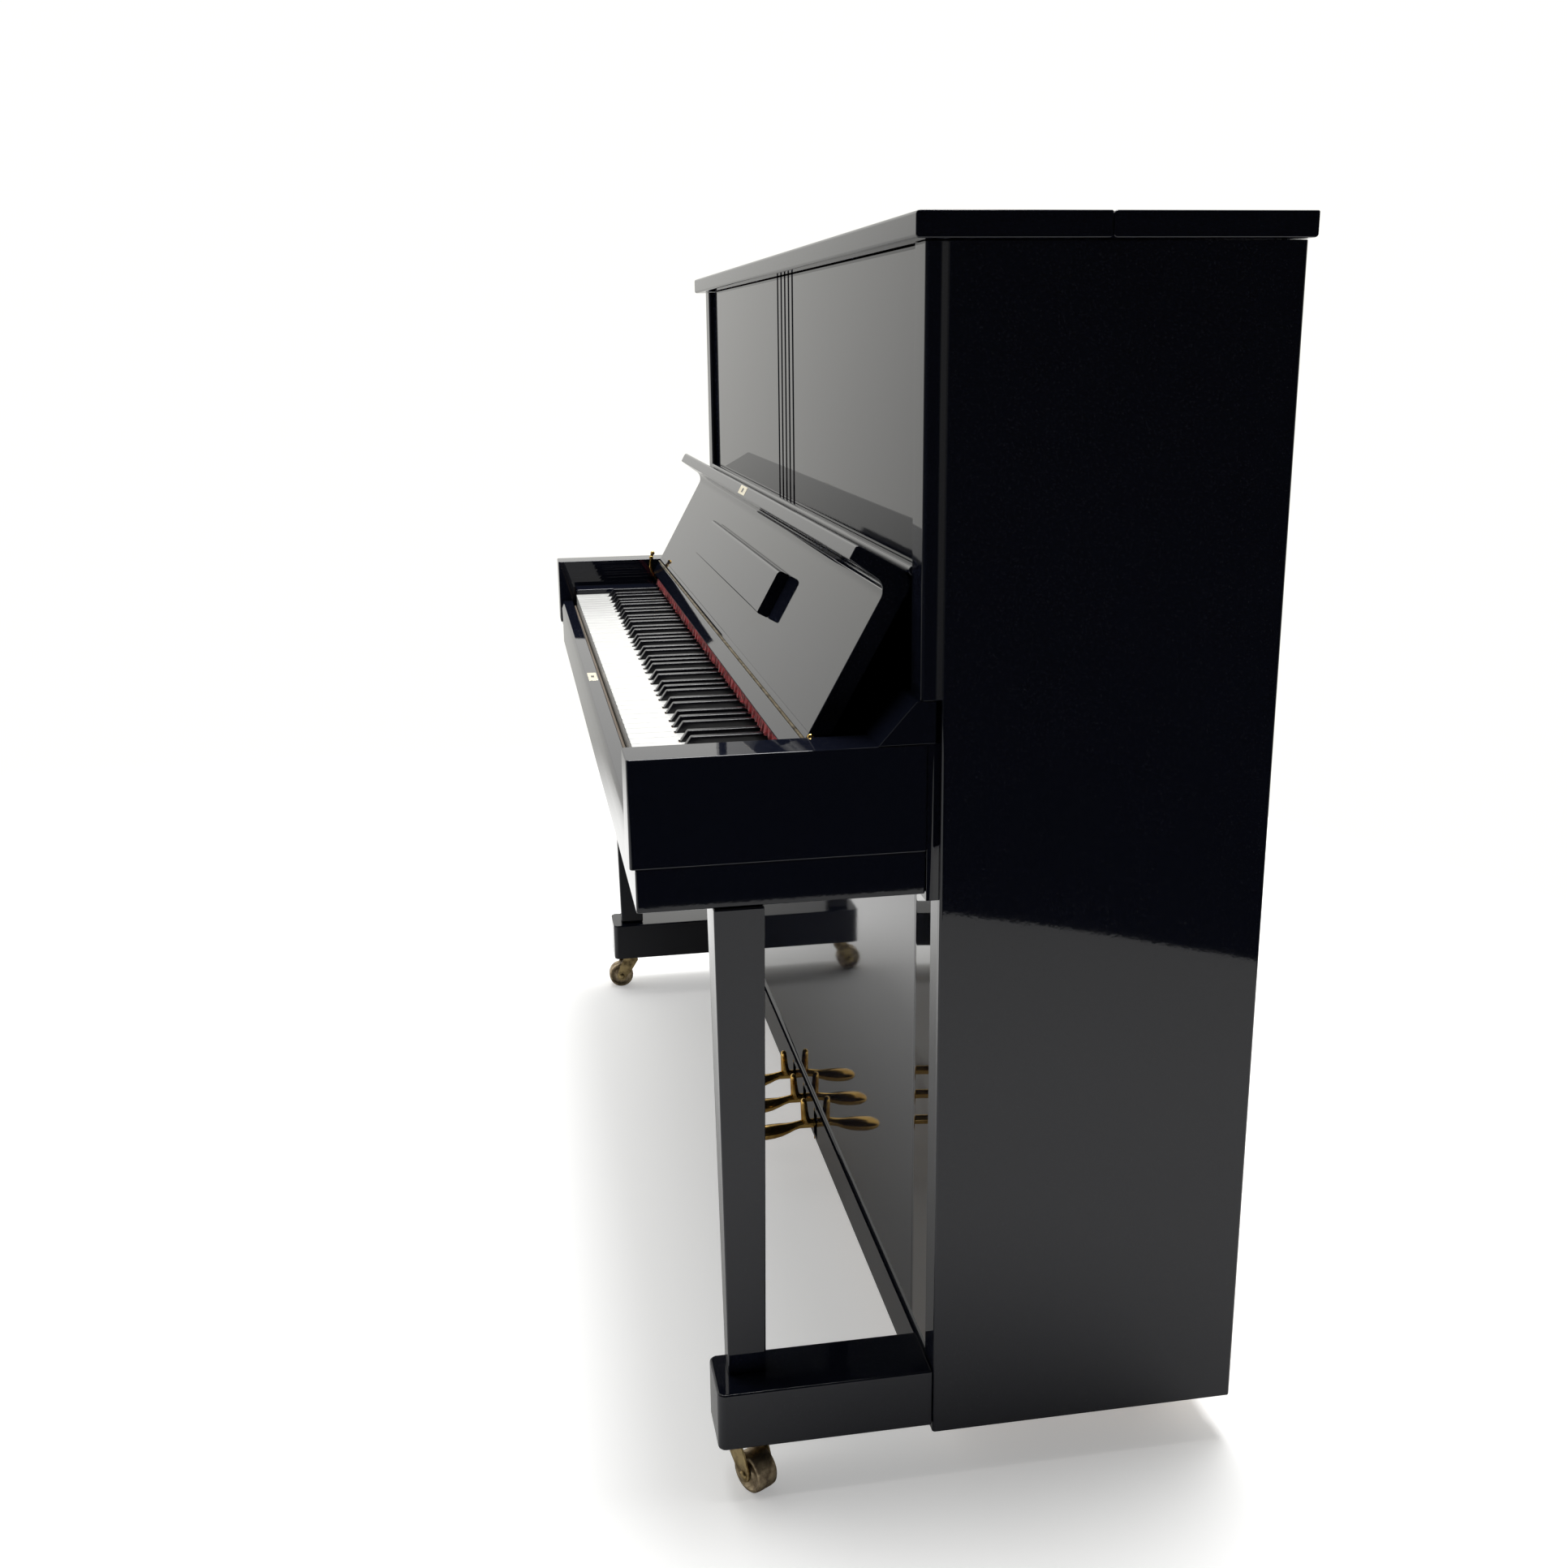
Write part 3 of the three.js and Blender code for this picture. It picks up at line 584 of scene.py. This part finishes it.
# %% [markdown]
# ## Around the keys
# Between the slip and the keys runs the bare front rail of the key frame. Behind the keys a
# strip of red felt hangs under the name rail, and puckers slightly where the keys touch it.
# The felt is a thin grid pushed in and out by two waves, then given its thickness.

# %% Key frame and felt
bm = welded("key_frame")
ease(bm, 0.6)
piece(bm, "key_frame_rails", "case", [BEECH], ["key_frame"])

FELT_TOP, FELT_FOOT, FELT_FRONT, FELT_THICK = 742.8, 730.6, -142.9, 2.4
bm = bmesh.new()
bmesh.ops.create_grid(bm, x_segments=WHITES * 14, y_segments=4, size=1,
                      matrix=Matrix.Rotation(math.pi / 2, 4, "X"))
bmesh.ops.scale(bm, vec=(-KEYS_LEFT - 1, 1, (FELT_TOP - FELT_FOOT) / 2), verts=bm.verts)
for vert in bm.verts:
    phase = vert.co.x / PITCH * 2 * math.pi
    hang = 0.5 - vert.co.z / (FELT_TOP - FELT_FOOT)
    ruffle = 2.6 * math.sin(phase * 2) + 1.2 * math.sin(phase * 3.1)
    vert.co.y = FELT_FRONT + FELT_THICK + hang * ruffle
    vert.co.z += (FELT_TOP + FELT_FOOT) / 2 + hang * 0.9 * math.sin(phase * 2.3)
bmesh.ops.recalc_face_normals(bm, faces=bm.faces)
bmesh.ops.solidify(bm, geom=bm.faces, thickness=FELT_THICK)
piece(bm, "name_rail_felt", "case", [RED_FELT], ["name_felt"])

# %% [markdown]
# ## Brass around the fallboard
# A long hinge joins the fallboard to the name rail: two thin leaves and a barrel of knuckles.
# The barrel's brass is painted dark, which is painted shade for a hinge lying in shadow.
# At the bass end a curved stay with round pins holds the open board, and a pivot pin shows at
# the treble end. A small lock plate sits in the lip, and its strike is let into the key slip.
# On each, a thin black sheet raised on the plate is painted shade in place of the slot's hollow.

# %% Hinge, stays and lock
bm = welded("hinge_strip")
ease(bm, 0.3)
BOARD_HALF = 654.5
KNUCKLE, KNUCKLES = 27.0, 48
BARREL_Y, BARREL_Z = -132.9, 764.0
for i in range(KNUCKLES):
    start = (i - KNUCKLES / 2) * KNUCKLE
    turned(bm, [(0, 0), (0.7, 0), (0.9, 0.3), (0.9, KNUCKLE - 1.3), (0.7, KNUCKLE - 1),
                (0, KNUCKLE - 1)], (start, BARREL_Y, BARREL_Z), ALONG_X, 8)
# The barrel takes the brass painted dark: painted shade.
piece(bm, "fallboard_hinge_barrel", "case", [SHADE_DARKENED_BRASS], ["hinge_strip"])
bm = bmesh.new()
prism(bm, [on_board(-BOARD_HALF, out, up)
           for out, up in ((2.0, 1.2), (2.0, -5.0), (0.8, -5.0), (0.8, 1.2))],
      ALONG_X * 2 * BOARD_HALF)
piece(bm, "fallboard_hinge_leaf", "fallboard", [LACQUER])

STAY_X = -655.7
STAY = [(-15.8, 8.9), (-18.2, 1.5), (-19.4, -6.5), (-19.4, -14.5), (-17.6, -22.5), (-13.4, -30.0),
        (-8.0, -36.0)]
HINGE_END = FALL_PIVOT + Vector((656.4, 0.9, -1.8))


def round_pin(bm, spot, side):
    turned(bm, [(0, -1.2), (2.0, -1.0), (3.4, 0.2), (3.5, 1.6), (2.2, 3.2), (0, 3.8)],
           spot - ALONG_X * side * 0.3, -ALONG_X * side, 16)


bm = bmesh.new()
spots = [FALL_PIVOT + Vector((STAY_X, dy, dz)) for dy, dz in STAY]
headings = [(b - a) for a, b in zip(spots, spots[1:])] + [spots[-1] - spots[-2]]
lofted(bm, [(spot, 0.7, 2.4, heading) for spot, heading in zip(spots, headings)], 10)
for spot in (spots[0], spots[1], HINGE_END * Vector((-1, 1, 1))):
    round_pin(bm, spot, -1)
piece(bm, "fallboard_stay_left", "fallboard", [BRASS])
bm = bmesh.new()
round_pin(bm, HINGE_END, 1)
piece(bm, "fallboard_pivot_right", "fallboard", [BRASS])


def plate_with_painted_slot(name, body, middle, across, up, out, half_size, half_painted_slot):
    """A thin plate on a face, with a thin black sheet in its middle: painted shade for a slot."""
    def rectangle(half_width, half_height, raised):
        return [middle + out * raised + across * i * half_width + up * j * half_height
                for i, j in ((-1, -1), (1, -1), (1, 1), (-1, 1))]

    bm = bmesh.new()
    prism(bm, rectangle(*half_size, 0), out * 0.4)
    ease(bm, 0.15)
    # The slot is a black sheet laid on the plate, not a hole: painted shade.
    prism(bm, rectangle(*half_painted_slot, 0.41), out * 0.06, 1)
    piece(bm, name, body, [NICKEL, BLACK_KEY])


plate_with_painted_slot("lip_lock_plate", "fallboard", on_board(0, 44.8, 165), ALONG_X, FALL_UP, FALL_OUT,
              (25, 5.6), (5.5, 2.8))
plate_with_painted_slot("slip_strike_plate", "case", Vector((0, -288, 701.2)), ALONG_X, ALONG_Y, ALONG_Z,
              (25, 5.8), (6.0, 2.0))

# %% [markdown]
# ## The lid's hinge
# The front half of the lid folds back on a continuous hinge. Its leaves are let into the top,
# one on each half, and the barrel stands a little above the lid on the line of the fold.

# %% Lid hinge
LID_TOP, FOLD, HINGE_HALF, LEAF = 1218.0, 116.35, 700.0, 13.0
for name, body, y in (("lid_hinge_leaf_front", "lid_front", (FOLD - LEAF, FOLD - 3)),
                      ("lid_hinge_leaf_rear", "case", (FOLD + 3, FOLD + LEAF))):
    bm = bmesh.new()
    block(bm, (-HINGE_HALF, HINGE_HALF), y, (LID_TOP - 0.6, LID_TOP + 0.1))
    ease(bm, 0.05)
    for i in range(12):
        x = (i - 5.5) * 120
        turned(bm, [(0, 0), (2.6, 0), (2.4, 0.05), (0, 0.06)],
               (x, sum(y) / 2, LID_TOP + 0.1), steps=12)
    piece(bm, name, body, [BRASS])
bm = bmesh.new()
for i in range(50):
    start = (i - 25) * 28.0
    turned(bm, [(0, 0), (1.5, 0), (1.5, 27.2), (0, 27.2)],
           (start, FOLD, LID_TOP + 0.2), ALONG_X, 8)
piece(bm, "lid_hinge_barrel", "case", [BRASS])

# %% [markdown]
# ## Pedals
# Three cast brass levers come out of slots in the bottom rail. Each swells from a flat shank,
# dips in an S and widens to a spoon for the shoe, with an upright horn close to the rail. Cast
# shapes like this are lofted: oval rings along the lever, bridged, with closed ends. A brass
# plate frames each slot.

# %% Pedals
PEDAL_PITCH = 79
PLATE_THICK = 1.3
LEVER = [  # along Y and Z, half width, half height, heading in Y and Z
    (70, 79.5, 5.5, 6.5, (-1, 0)), (20, 79.5, 5.5, 6.5, (-1, 0)),
    (-16, 79.8, 5.5, 6.6, (-1, 0)), (-28, 80.2, 5.6, 6.6, (-1, 0)),
    (-37, 79.4, 5.4, 5.6, (-1, -0.15)), (-44, 78.0, 6.6, 5.6, (-1, -0.3)),
    (-52, 75.8, 8.8, 6.6, (-1, -0.25)), (-62, 74.0, 11.8, 8.2, (-1, -0.15)),
    (-73, 72.8, 13.8, 8.9, (-1, -0.1)), (-84, 72.0, 14.6, 8.8, (-1, -0.05)),
    (-93, 71.6, 13.6, 8.0, (-1, -0.05)), (-99, 71.3, 10.6, 5.8, (-1, 0)),
    (-102.6, 71.1, 6.6, 3.8, (-1, 0)), (-104, 71.0, 2.4, 1.4, (-1, 0))]
HORN = [(-27, 82, 7.2, 6.4), (-28.4, 90, 5.6, 5.2), (-29.4, 100, 5.0, 4.6), (-30, 110, 4.6, 4.2),
        (-30.2, 115.5, 3.9, 3.6), (-30.3, 117.8, 2.0, 1.8)]
for i, side in enumerate(("left", "middle", "right")):
    x = (i - 1) * PEDAL_PITCH
    bm = bmesh.new()
    lofted(bm, [((x, y, z), w, h, (0, *heading)) for y, z, w, h, heading in LEVER], 20)
    lofted(bm, [((x, y, z), w, h, (0, 0, 1)) for y, z, w, h in HORN], 16)
    piece(bm, f"pedal_{side}_lever", "pedal_" + side, [BRASS], ["pedal_" + side])

    bm = bmesh.new()
    bmesh.ops.create_grid(bm, x_segments=1, y_segments=1, size=1,
                          matrix=Matrix.Translation((x, -14.2, 79))
                          @ Matrix.Rotation(math.pi / 2, 4, "X")
                          @ Matrix.Diagonal((15.5, 24, 1, 1)))
    middle = bmesh.ops.inset_region(bm, faces=bm.faces, thickness=4.6)["faces"]
    hole = [f for f in bm.faces if f not in middle]
    bmesh.ops.delete(bm, geom=hole, context="FACES_ONLY")
    bmesh.ops.recalc_face_normals(bm, faces=bm.faces)
    draw_out(bm, bm.faces[:], -ALONG_Y * PLATE_THICK)
    for z in (57.6, 100.4):
        turned(bm, [(0, -0.6), (2.1, -0.4), (1.7, 0.4), (0, 0.7)], (x, -15.5, z), -ALONG_Y, 12)
    piece(bm, f"pedal_{side}_plate", "case", [BRASS])

# %% [markdown]
# ## Casters
# Each caster turns on a plate under the case and trails behind its pin. The fork is two cast
# arms under a round crown. The wheel is a solid of revolution: a crowned tread with a worn
# groove, a recessed web and a hub on a headed axle.

# %% Casters
WHEEL_R, TRAIL = 21, 18
TREAD = [(3.4, -11), (6.5, -12), (7.5, -11), (9, -9), (15, -9), (16.5, -11.6), (19, -12),
         (20.5, -10.5), (21, -7), (21, -1.4), (20.6, -0.8), (20.6, 0.8), (21, 1.4), (21, 7),
         (20.5, 10.5), (19, 12), (16.5, 11.6), (15, 9), (9, 9), (7.5, 11), (6.5, 12),
         (3.4, 11), (3.4, -11)]
CASTERS = {"front_right": (676, -205, 30, 59.7), "front_left": (-676, -205, -90, 59.7),
           "rear_right": (600, 240, 60, 55.7), "rear_left": (-600, 240, 90, 55.7)}
for place, (cx, cy, degrees, top) in CASTERS.items():
    name = "caster_" + place
    stand = Matrix.Translation((cx, cy, 0)) @ Matrix.Rotation(math.radians(degrees), 4, "Z")
    axle = Vector((TRAIL, 0, WHEEL_R))
    bm = bmesh.new()
    turned(bm, TREAD, axle, ALONG_Y, 40)
    bm.transform(stand)
    piece(bm, name + "_tread", name + "_wheel", [WORN_TREAD], [name + "_wheel"])

    bm = bmesh.new()
    turned(bm, [(0, top - 10), (9, top - 10), (12, top - 8.5), (15, top - 6), (16.5, top - 4),
                (17, top - 2), (17, top - 0.6), (16, top), (0, top)],
           Vector((0, 0, 0)), ALONG_Z, 28)
    for face in (-1, 1):
        arm = [(-11, top - 4), (-12, top - 9), (-4, top - 22), (TRAIL - 9, WHEEL_R - 1),
               (TRAIL - 5, WHEEL_R - 6), (TRAIL + 1, WHEEL_R - 8), (TRAIL + 6, WHEEL_R - 5),
               (TRAIL + 8, WHEEL_R + 1), (TRAIL + 6, WHEEL_R + 8), (TRAIL + 1, top - 16),
               (14, top - 8), (13, top - 4)]
        made = prism(bm, [(u, face * 13.3, v) for u, v in arm], ALONG_Y * face * 3)
        ease(bm, 0.9, 2, [e for e in {e for v in made for e in v.link_edges}
                          if e.calc_face_angle(0) > SHARP and e.is_convex])
        turned(bm, [(0, -1), (5, -1), (5, 1.2), (3.6, 2.4), (0, 2.6)],
               axle + ALONG_Y * face * 16, ALONG_Y * face, 16)
    block(bm, (-11, 11), (-16.2, 16.2), (top - 9, top - 5))
    turned(bm, [(0, -14), (3, -14), (3, 14), (0, 14)], axle, ALONG_Y, 14)
    bm.transform(stand)
    piece(bm, name + "_crown_fork", name + "_fork", [OLD_BRASS], [name + "_fork"])

# %% [markdown]
# ## The back
# Five spruce posts stand between a bottom and a top beam. Between them shows the soundboard,
# crowned by slanting ribs that are glued across its grain. A rib is a long bar laid at an
# angle, cut off at the sides of its bay by four planes.

# %% Posts, soundboard and ribs
bm = welded("back_frame")
ease(bm, 3.0)
piece(bm, "back_posts", "case", [SPRUCE_POST], ["back_frame"])
bm = welded("soundboard")
ease(bm, 0.8)
piece(bm, "soundboard_panel", "case", [SOUNDBOARD], ["soundboard"])
bm = welded("bottom_board")
ease(bm, 1.2)
piece(bm, "bottom_board_panel", "case", [SPRUCE_BOARD], ["bottom_board"])

POST_PITCH, POST_WIDTH, BAY_FOOT, BAY_TOP = 317, 80, 160, 1090
RIB_BACK, RIB_FRONT, RIB_SLOPE = 234.6, 225.5, math.radians(48)
bm = bmesh.new()
for bay in range(4):
    left = (bay - 2) * POST_PITCH + POST_WIDTH / 2
    right = left + POST_PITCH - POST_WIDTH
    for step in range(-2, 9):
        rib = bmesh.new()
        middle = Vector(((left + right) / 2, 0, BAY_FOOT + step * 140 + bay * 66))
        block(rib, (-420, 420), (RIB_FRONT, RIB_BACK), (-11, 11))
        ease(rib, 2.2, 2, edges_along(rib, ALONG_X, lambda m: m.y > 230))
        rib.transform(Matrix.Translation(middle) @ Matrix.Rotation(-RIB_SLOPE, 4, "Y"))
        for spot, away in (((left, 0, 0), (-1, 0, 0)), ((right, 0, 0), (1, 0, 0)),
                           ((0, 0, BAY_FOOT), (0, 0, -1)), ((0, 0, BAY_TOP), (0, 0, 1))):
            cut = trim(rib, spot, away)
            rim = [g for g in cut if isinstance(g, bmesh.types.BMEdge)]
            if rim:
                bmesh.ops.edgenet_fill(rib, edges=rim)
        part = bpy.data.meshes.new("rib")
        rib.to_mesh(part)
        rib.free()
        bm.from_mesh(part)
        bpy.data.meshes.remove(part)
piece(bm, "soundboard_ribs", "case", [SPRUCE_BOARD])

# %% [markdown]
# ## Iron and strings
# In front of the soundboard stands the cast-iron plate, with the strings stretched over it
# from the pins in their block. Bass strings are wound with copper and lean across the others.
# There are over two hundred, so each is a thin bar of five sides and each pin has few faces.

# %% Plate, pins and strings
bm = welded("iron_plate")
ease(bm, 2.0)
for x in (-600, -300, -30, 260, 540):
    for z in (170, 1062, 1160):
        turned(bm, [(0, -1), (11, -1), (11, 2.5), (8.5, 4), (0, 4.5)], (x, 178, z), -ALONG_Y, 10)
piece(bm, "iron_plate_casting", "case", [BRONZE_PAINT], ["iron_plate"])
bm = welded("pin_block")
ease(bm, 1.0)
piece(bm, "pin_block_plank", "case", [BEECH], ["pin_block"])

bm = bmesh.new()
BASS_STRINGS, PLAIN_STRINGS, STRING_Y = 52, 165, 170.6
for x, lean, radius, wound in (
        [(-596 + i * 6.6, 70, 0.9, 1) for i in range(BASS_STRINGS)]
        + [(-236 + i * 5.0, -26, 0.5, 0) for i in range(PLAIN_STRINGS)]):
    foot, head = Vector((x + lean, STRING_Y, 205)), Vector((x, STRING_Y, 1118))
    bmesh.ops.create_cone(bm, segments=5, radius1=radius, radius2=radius, cap_ends=True,
                          depth=(head - foot).length, matrix=Matrix.Translation((head + foot) / 2)
                          @ (head - foot).to_track_quat("Z", "Y").to_matrix().to_4x4())
    for face in bm.faces[-7:]:
        face.material_index = wound
piece(bm, "string_choir", "case", [STEEL, COPPER], ["strings"])

bm = bmesh.new()
for i in range(BASS_STRINGS + PLAIN_STRINGS):
    x = -596 + i * 5.5
    turned(bm, [(0, 0), (3.2, 0), (3.0, 16), (0, 17)], (x, 188, 1112 + i % 3 * 24), -ALONG_Y, 6)
piece(bm, "tuning_pins", "case", [STEEL])

# %% [markdown]
# ## The action
# Behind the keys the action stands on two beech brackets. Each hammer is a felt head on a
# maple stick, and each damper a small block of felt on a wire. They show when the lid is
# folded back. A hammer head is a pear shape, so one profile is drawn across and its edges eased.

# %% Hammers, dampers and rails
bm = welded("action_frame")
ease(bm, 1.0)
piece(bm, "action_brackets", "case", [BEECH_POST], ["action_frame"])

bm = bmesh.new()
block(bm, (-606, 606), (58, 74), (842, 858), 1)
PEAR = [(64, 994), (98, 993), (106, 999), (109, 1004), (106, 1009), (96, 1014), (70, 1016),
        (64, 1010)]
HAMMERS, HAMMER_SPREAD = 88, 1180
for note in range(HAMMERS):
    x = (note - (HAMMERS - 1) / 2) * HAMMER_SPREAD / (HAMMERS - 1)
    prism(bm, [(x - 2, 64, 856), (x + 2, 64, 856), (x + 2, 68, 856), (x - 2, 68, 856)],
          ALONG_Z * 138, 1)
    prism(bm, [(x - 4.4, y, z) for y, z in PEAR], ALONG_X * 8.8)
piece(bm, "hammer_row", "hammers", [WHITE_FELT, BEECH], ["hammers"])

bm = bmesh.new()
block(bm, (-600, 430), (136, 142), (932, 944), 1)
DAMPERS = 68
for note in range(DAMPERS):
    x = -596 + note * 15.2
    prism(bm, [(x - 4.5, 146, 930), (x + 4.5, 146, 930), (x + 3.5, 164, 933), (x - 3.5, 164, 933)],
          ALONG_Z * 29)
    block(bm, (x - 3, x + 3), (141, 147), (932, 960), 1)
piece(bm, "damper_row", "dampers", [WHITE_FELT, BEECH], ["dampers"])

bm = welded("mute_rail")
ease(bm, 0.8)
piece(bm, "mute_felt", "mute_rail", [RED_FELT], ["mute_rail"])

# %% [markdown]
# ## Studio
# A black mirror shows its surroundings more than itself. The room here is bright beyond the
# bass end, where the front boards reflect it at a low angle, and dark behind the camera, so
# the treble side reads black above and shows the pale floor below. The floor is a disc cut
# straight beyond the treble end, and that edge sets how high its reflection climbs. Camera
# rays see a plain white backdrop.

# %% Floor
FLOOR_MIDDLE, FLOOR_RADIUS, FLOOR_REACH = Vector((0, -0.9, 0)), 2.7, 2.35
bm = bmesh.new()
bmesh.ops.create_circle(bm, cap_ends=True, segments=96, radius=FLOOR_RADIUS,
                        matrix=Matrix.Translation(FLOOR_MIDDLE))
trim(bm, (FLOOR_REACH, 0, 0), ALONG_X)
mesh = bpy.data.meshes.new("studio_floor")
bm.to_mesh(mesh)
bm.free()
floor = bpy.data.objects.new("studio_floor", mesh)
scene.collection.objects.link(floor)
paper = Finish("floor_paper", Roughness=0.9, Specular_IOR_Level=0.1)
spread = paper.node("SeparateXYZ", None, {0: paper.place()}, output="X")
paper.plug(paper.shader.inputs["Alpha"], spread.rise(-2.6, -1.5))
seen = paper.node("LightPath", output="Is Camera Ray")
paper.plug(paper.shader.inputs["Emission Color"],
           paper.blend(seen, (0.0, 0.0, 0.0), (0.34, 0.34, 0.34)))
paper.shader.inputs["Emission Strength"].default_value = 1.0
tone = paper.blend(paper.noise(1.2, 3), (0.80, 0.80, 0.80), (0.77, 0.77, 0.77))
mesh.materials.append(paper.wear(tone))

# %% Room light
world = bpy.data.worlds.new("studio")
scene.world = world
world.use_nodes = True
nodes, links = world.node_tree.nodes, world.node_tree.links


def ramp(source, start, end, value_at_start, value_at_end, kind="LINEAR"):
    """Maps one range of a socket's values to another, clamped at both ends."""
    made = nodes.new("ShaderNodeMapRange")
    made.interpolation_type = kind
    links.new(source, made.inputs[0])
    for socket, value in zip(made.inputs[1:5], (start, end, value_at_start, value_at_end)):
        socket.default_value = value
    return made.outputs[0]


toward = nodes.new("ShaderNodeSeparateXYZ")
links.new(nodes.new("ShaderNodeTexCoord").outputs["Generated"], toward.inputs[0])
room = nodes.new("ShaderNodeMath")
room.operation = "MULTIPLY"
links.new(ramp(toward.outputs["X"], 0.35, -0.35, 0.02, 0.82, "SMOOTHSTEP"), room.inputs[0])
links.new(ramp(toward.outputs["Z"], -0.3, 0.35, 0.52, 1.40), room.inputs[1])
backdrop = nodes.new("ShaderNodeMix")
links.new(nodes.new("ShaderNodeLightPath").outputs["Is Camera Ray"], backdrop.inputs[0])
links.new(room.outputs[0], backdrop.inputs[2])
backdrop.inputs[3].default_value = 1.05
links.new(backdrop.outputs[0], nodes["Background"].inputs["Strength"])
nodes["Background"].inputs["Color"].default_value = (1.0, 0.992, 0.95, 1)
print("room light with", len(nodes), "nodes")
scene.view_settings.view_transform = "Standard"

# %% Soft boxes
for name, spot, aim, size, power in (
        ("key_light", (-0.1, 0.5, 6.0), (-0.3, -0.2, 0.3), 2.2, 290),
        ("overhead", (-0.9, -0.5, 6.0), (-0.5, -0.4, 0.3), 3.6, 170)):
    light = bpy.data.lights.new(name, "AREA")
    light.shape, light.size, light.energy = "DISK", size, power
    lamp = bpy.data.objects.new(name, light)
    lamp.location = spot
    lamp.rotation_euler = (Vector(aim) - Vector(spot)).to_track_quat("-Z", "Y").to_euler()
    scene.collection.objects.link(lamp)
    print(name, power, "W")
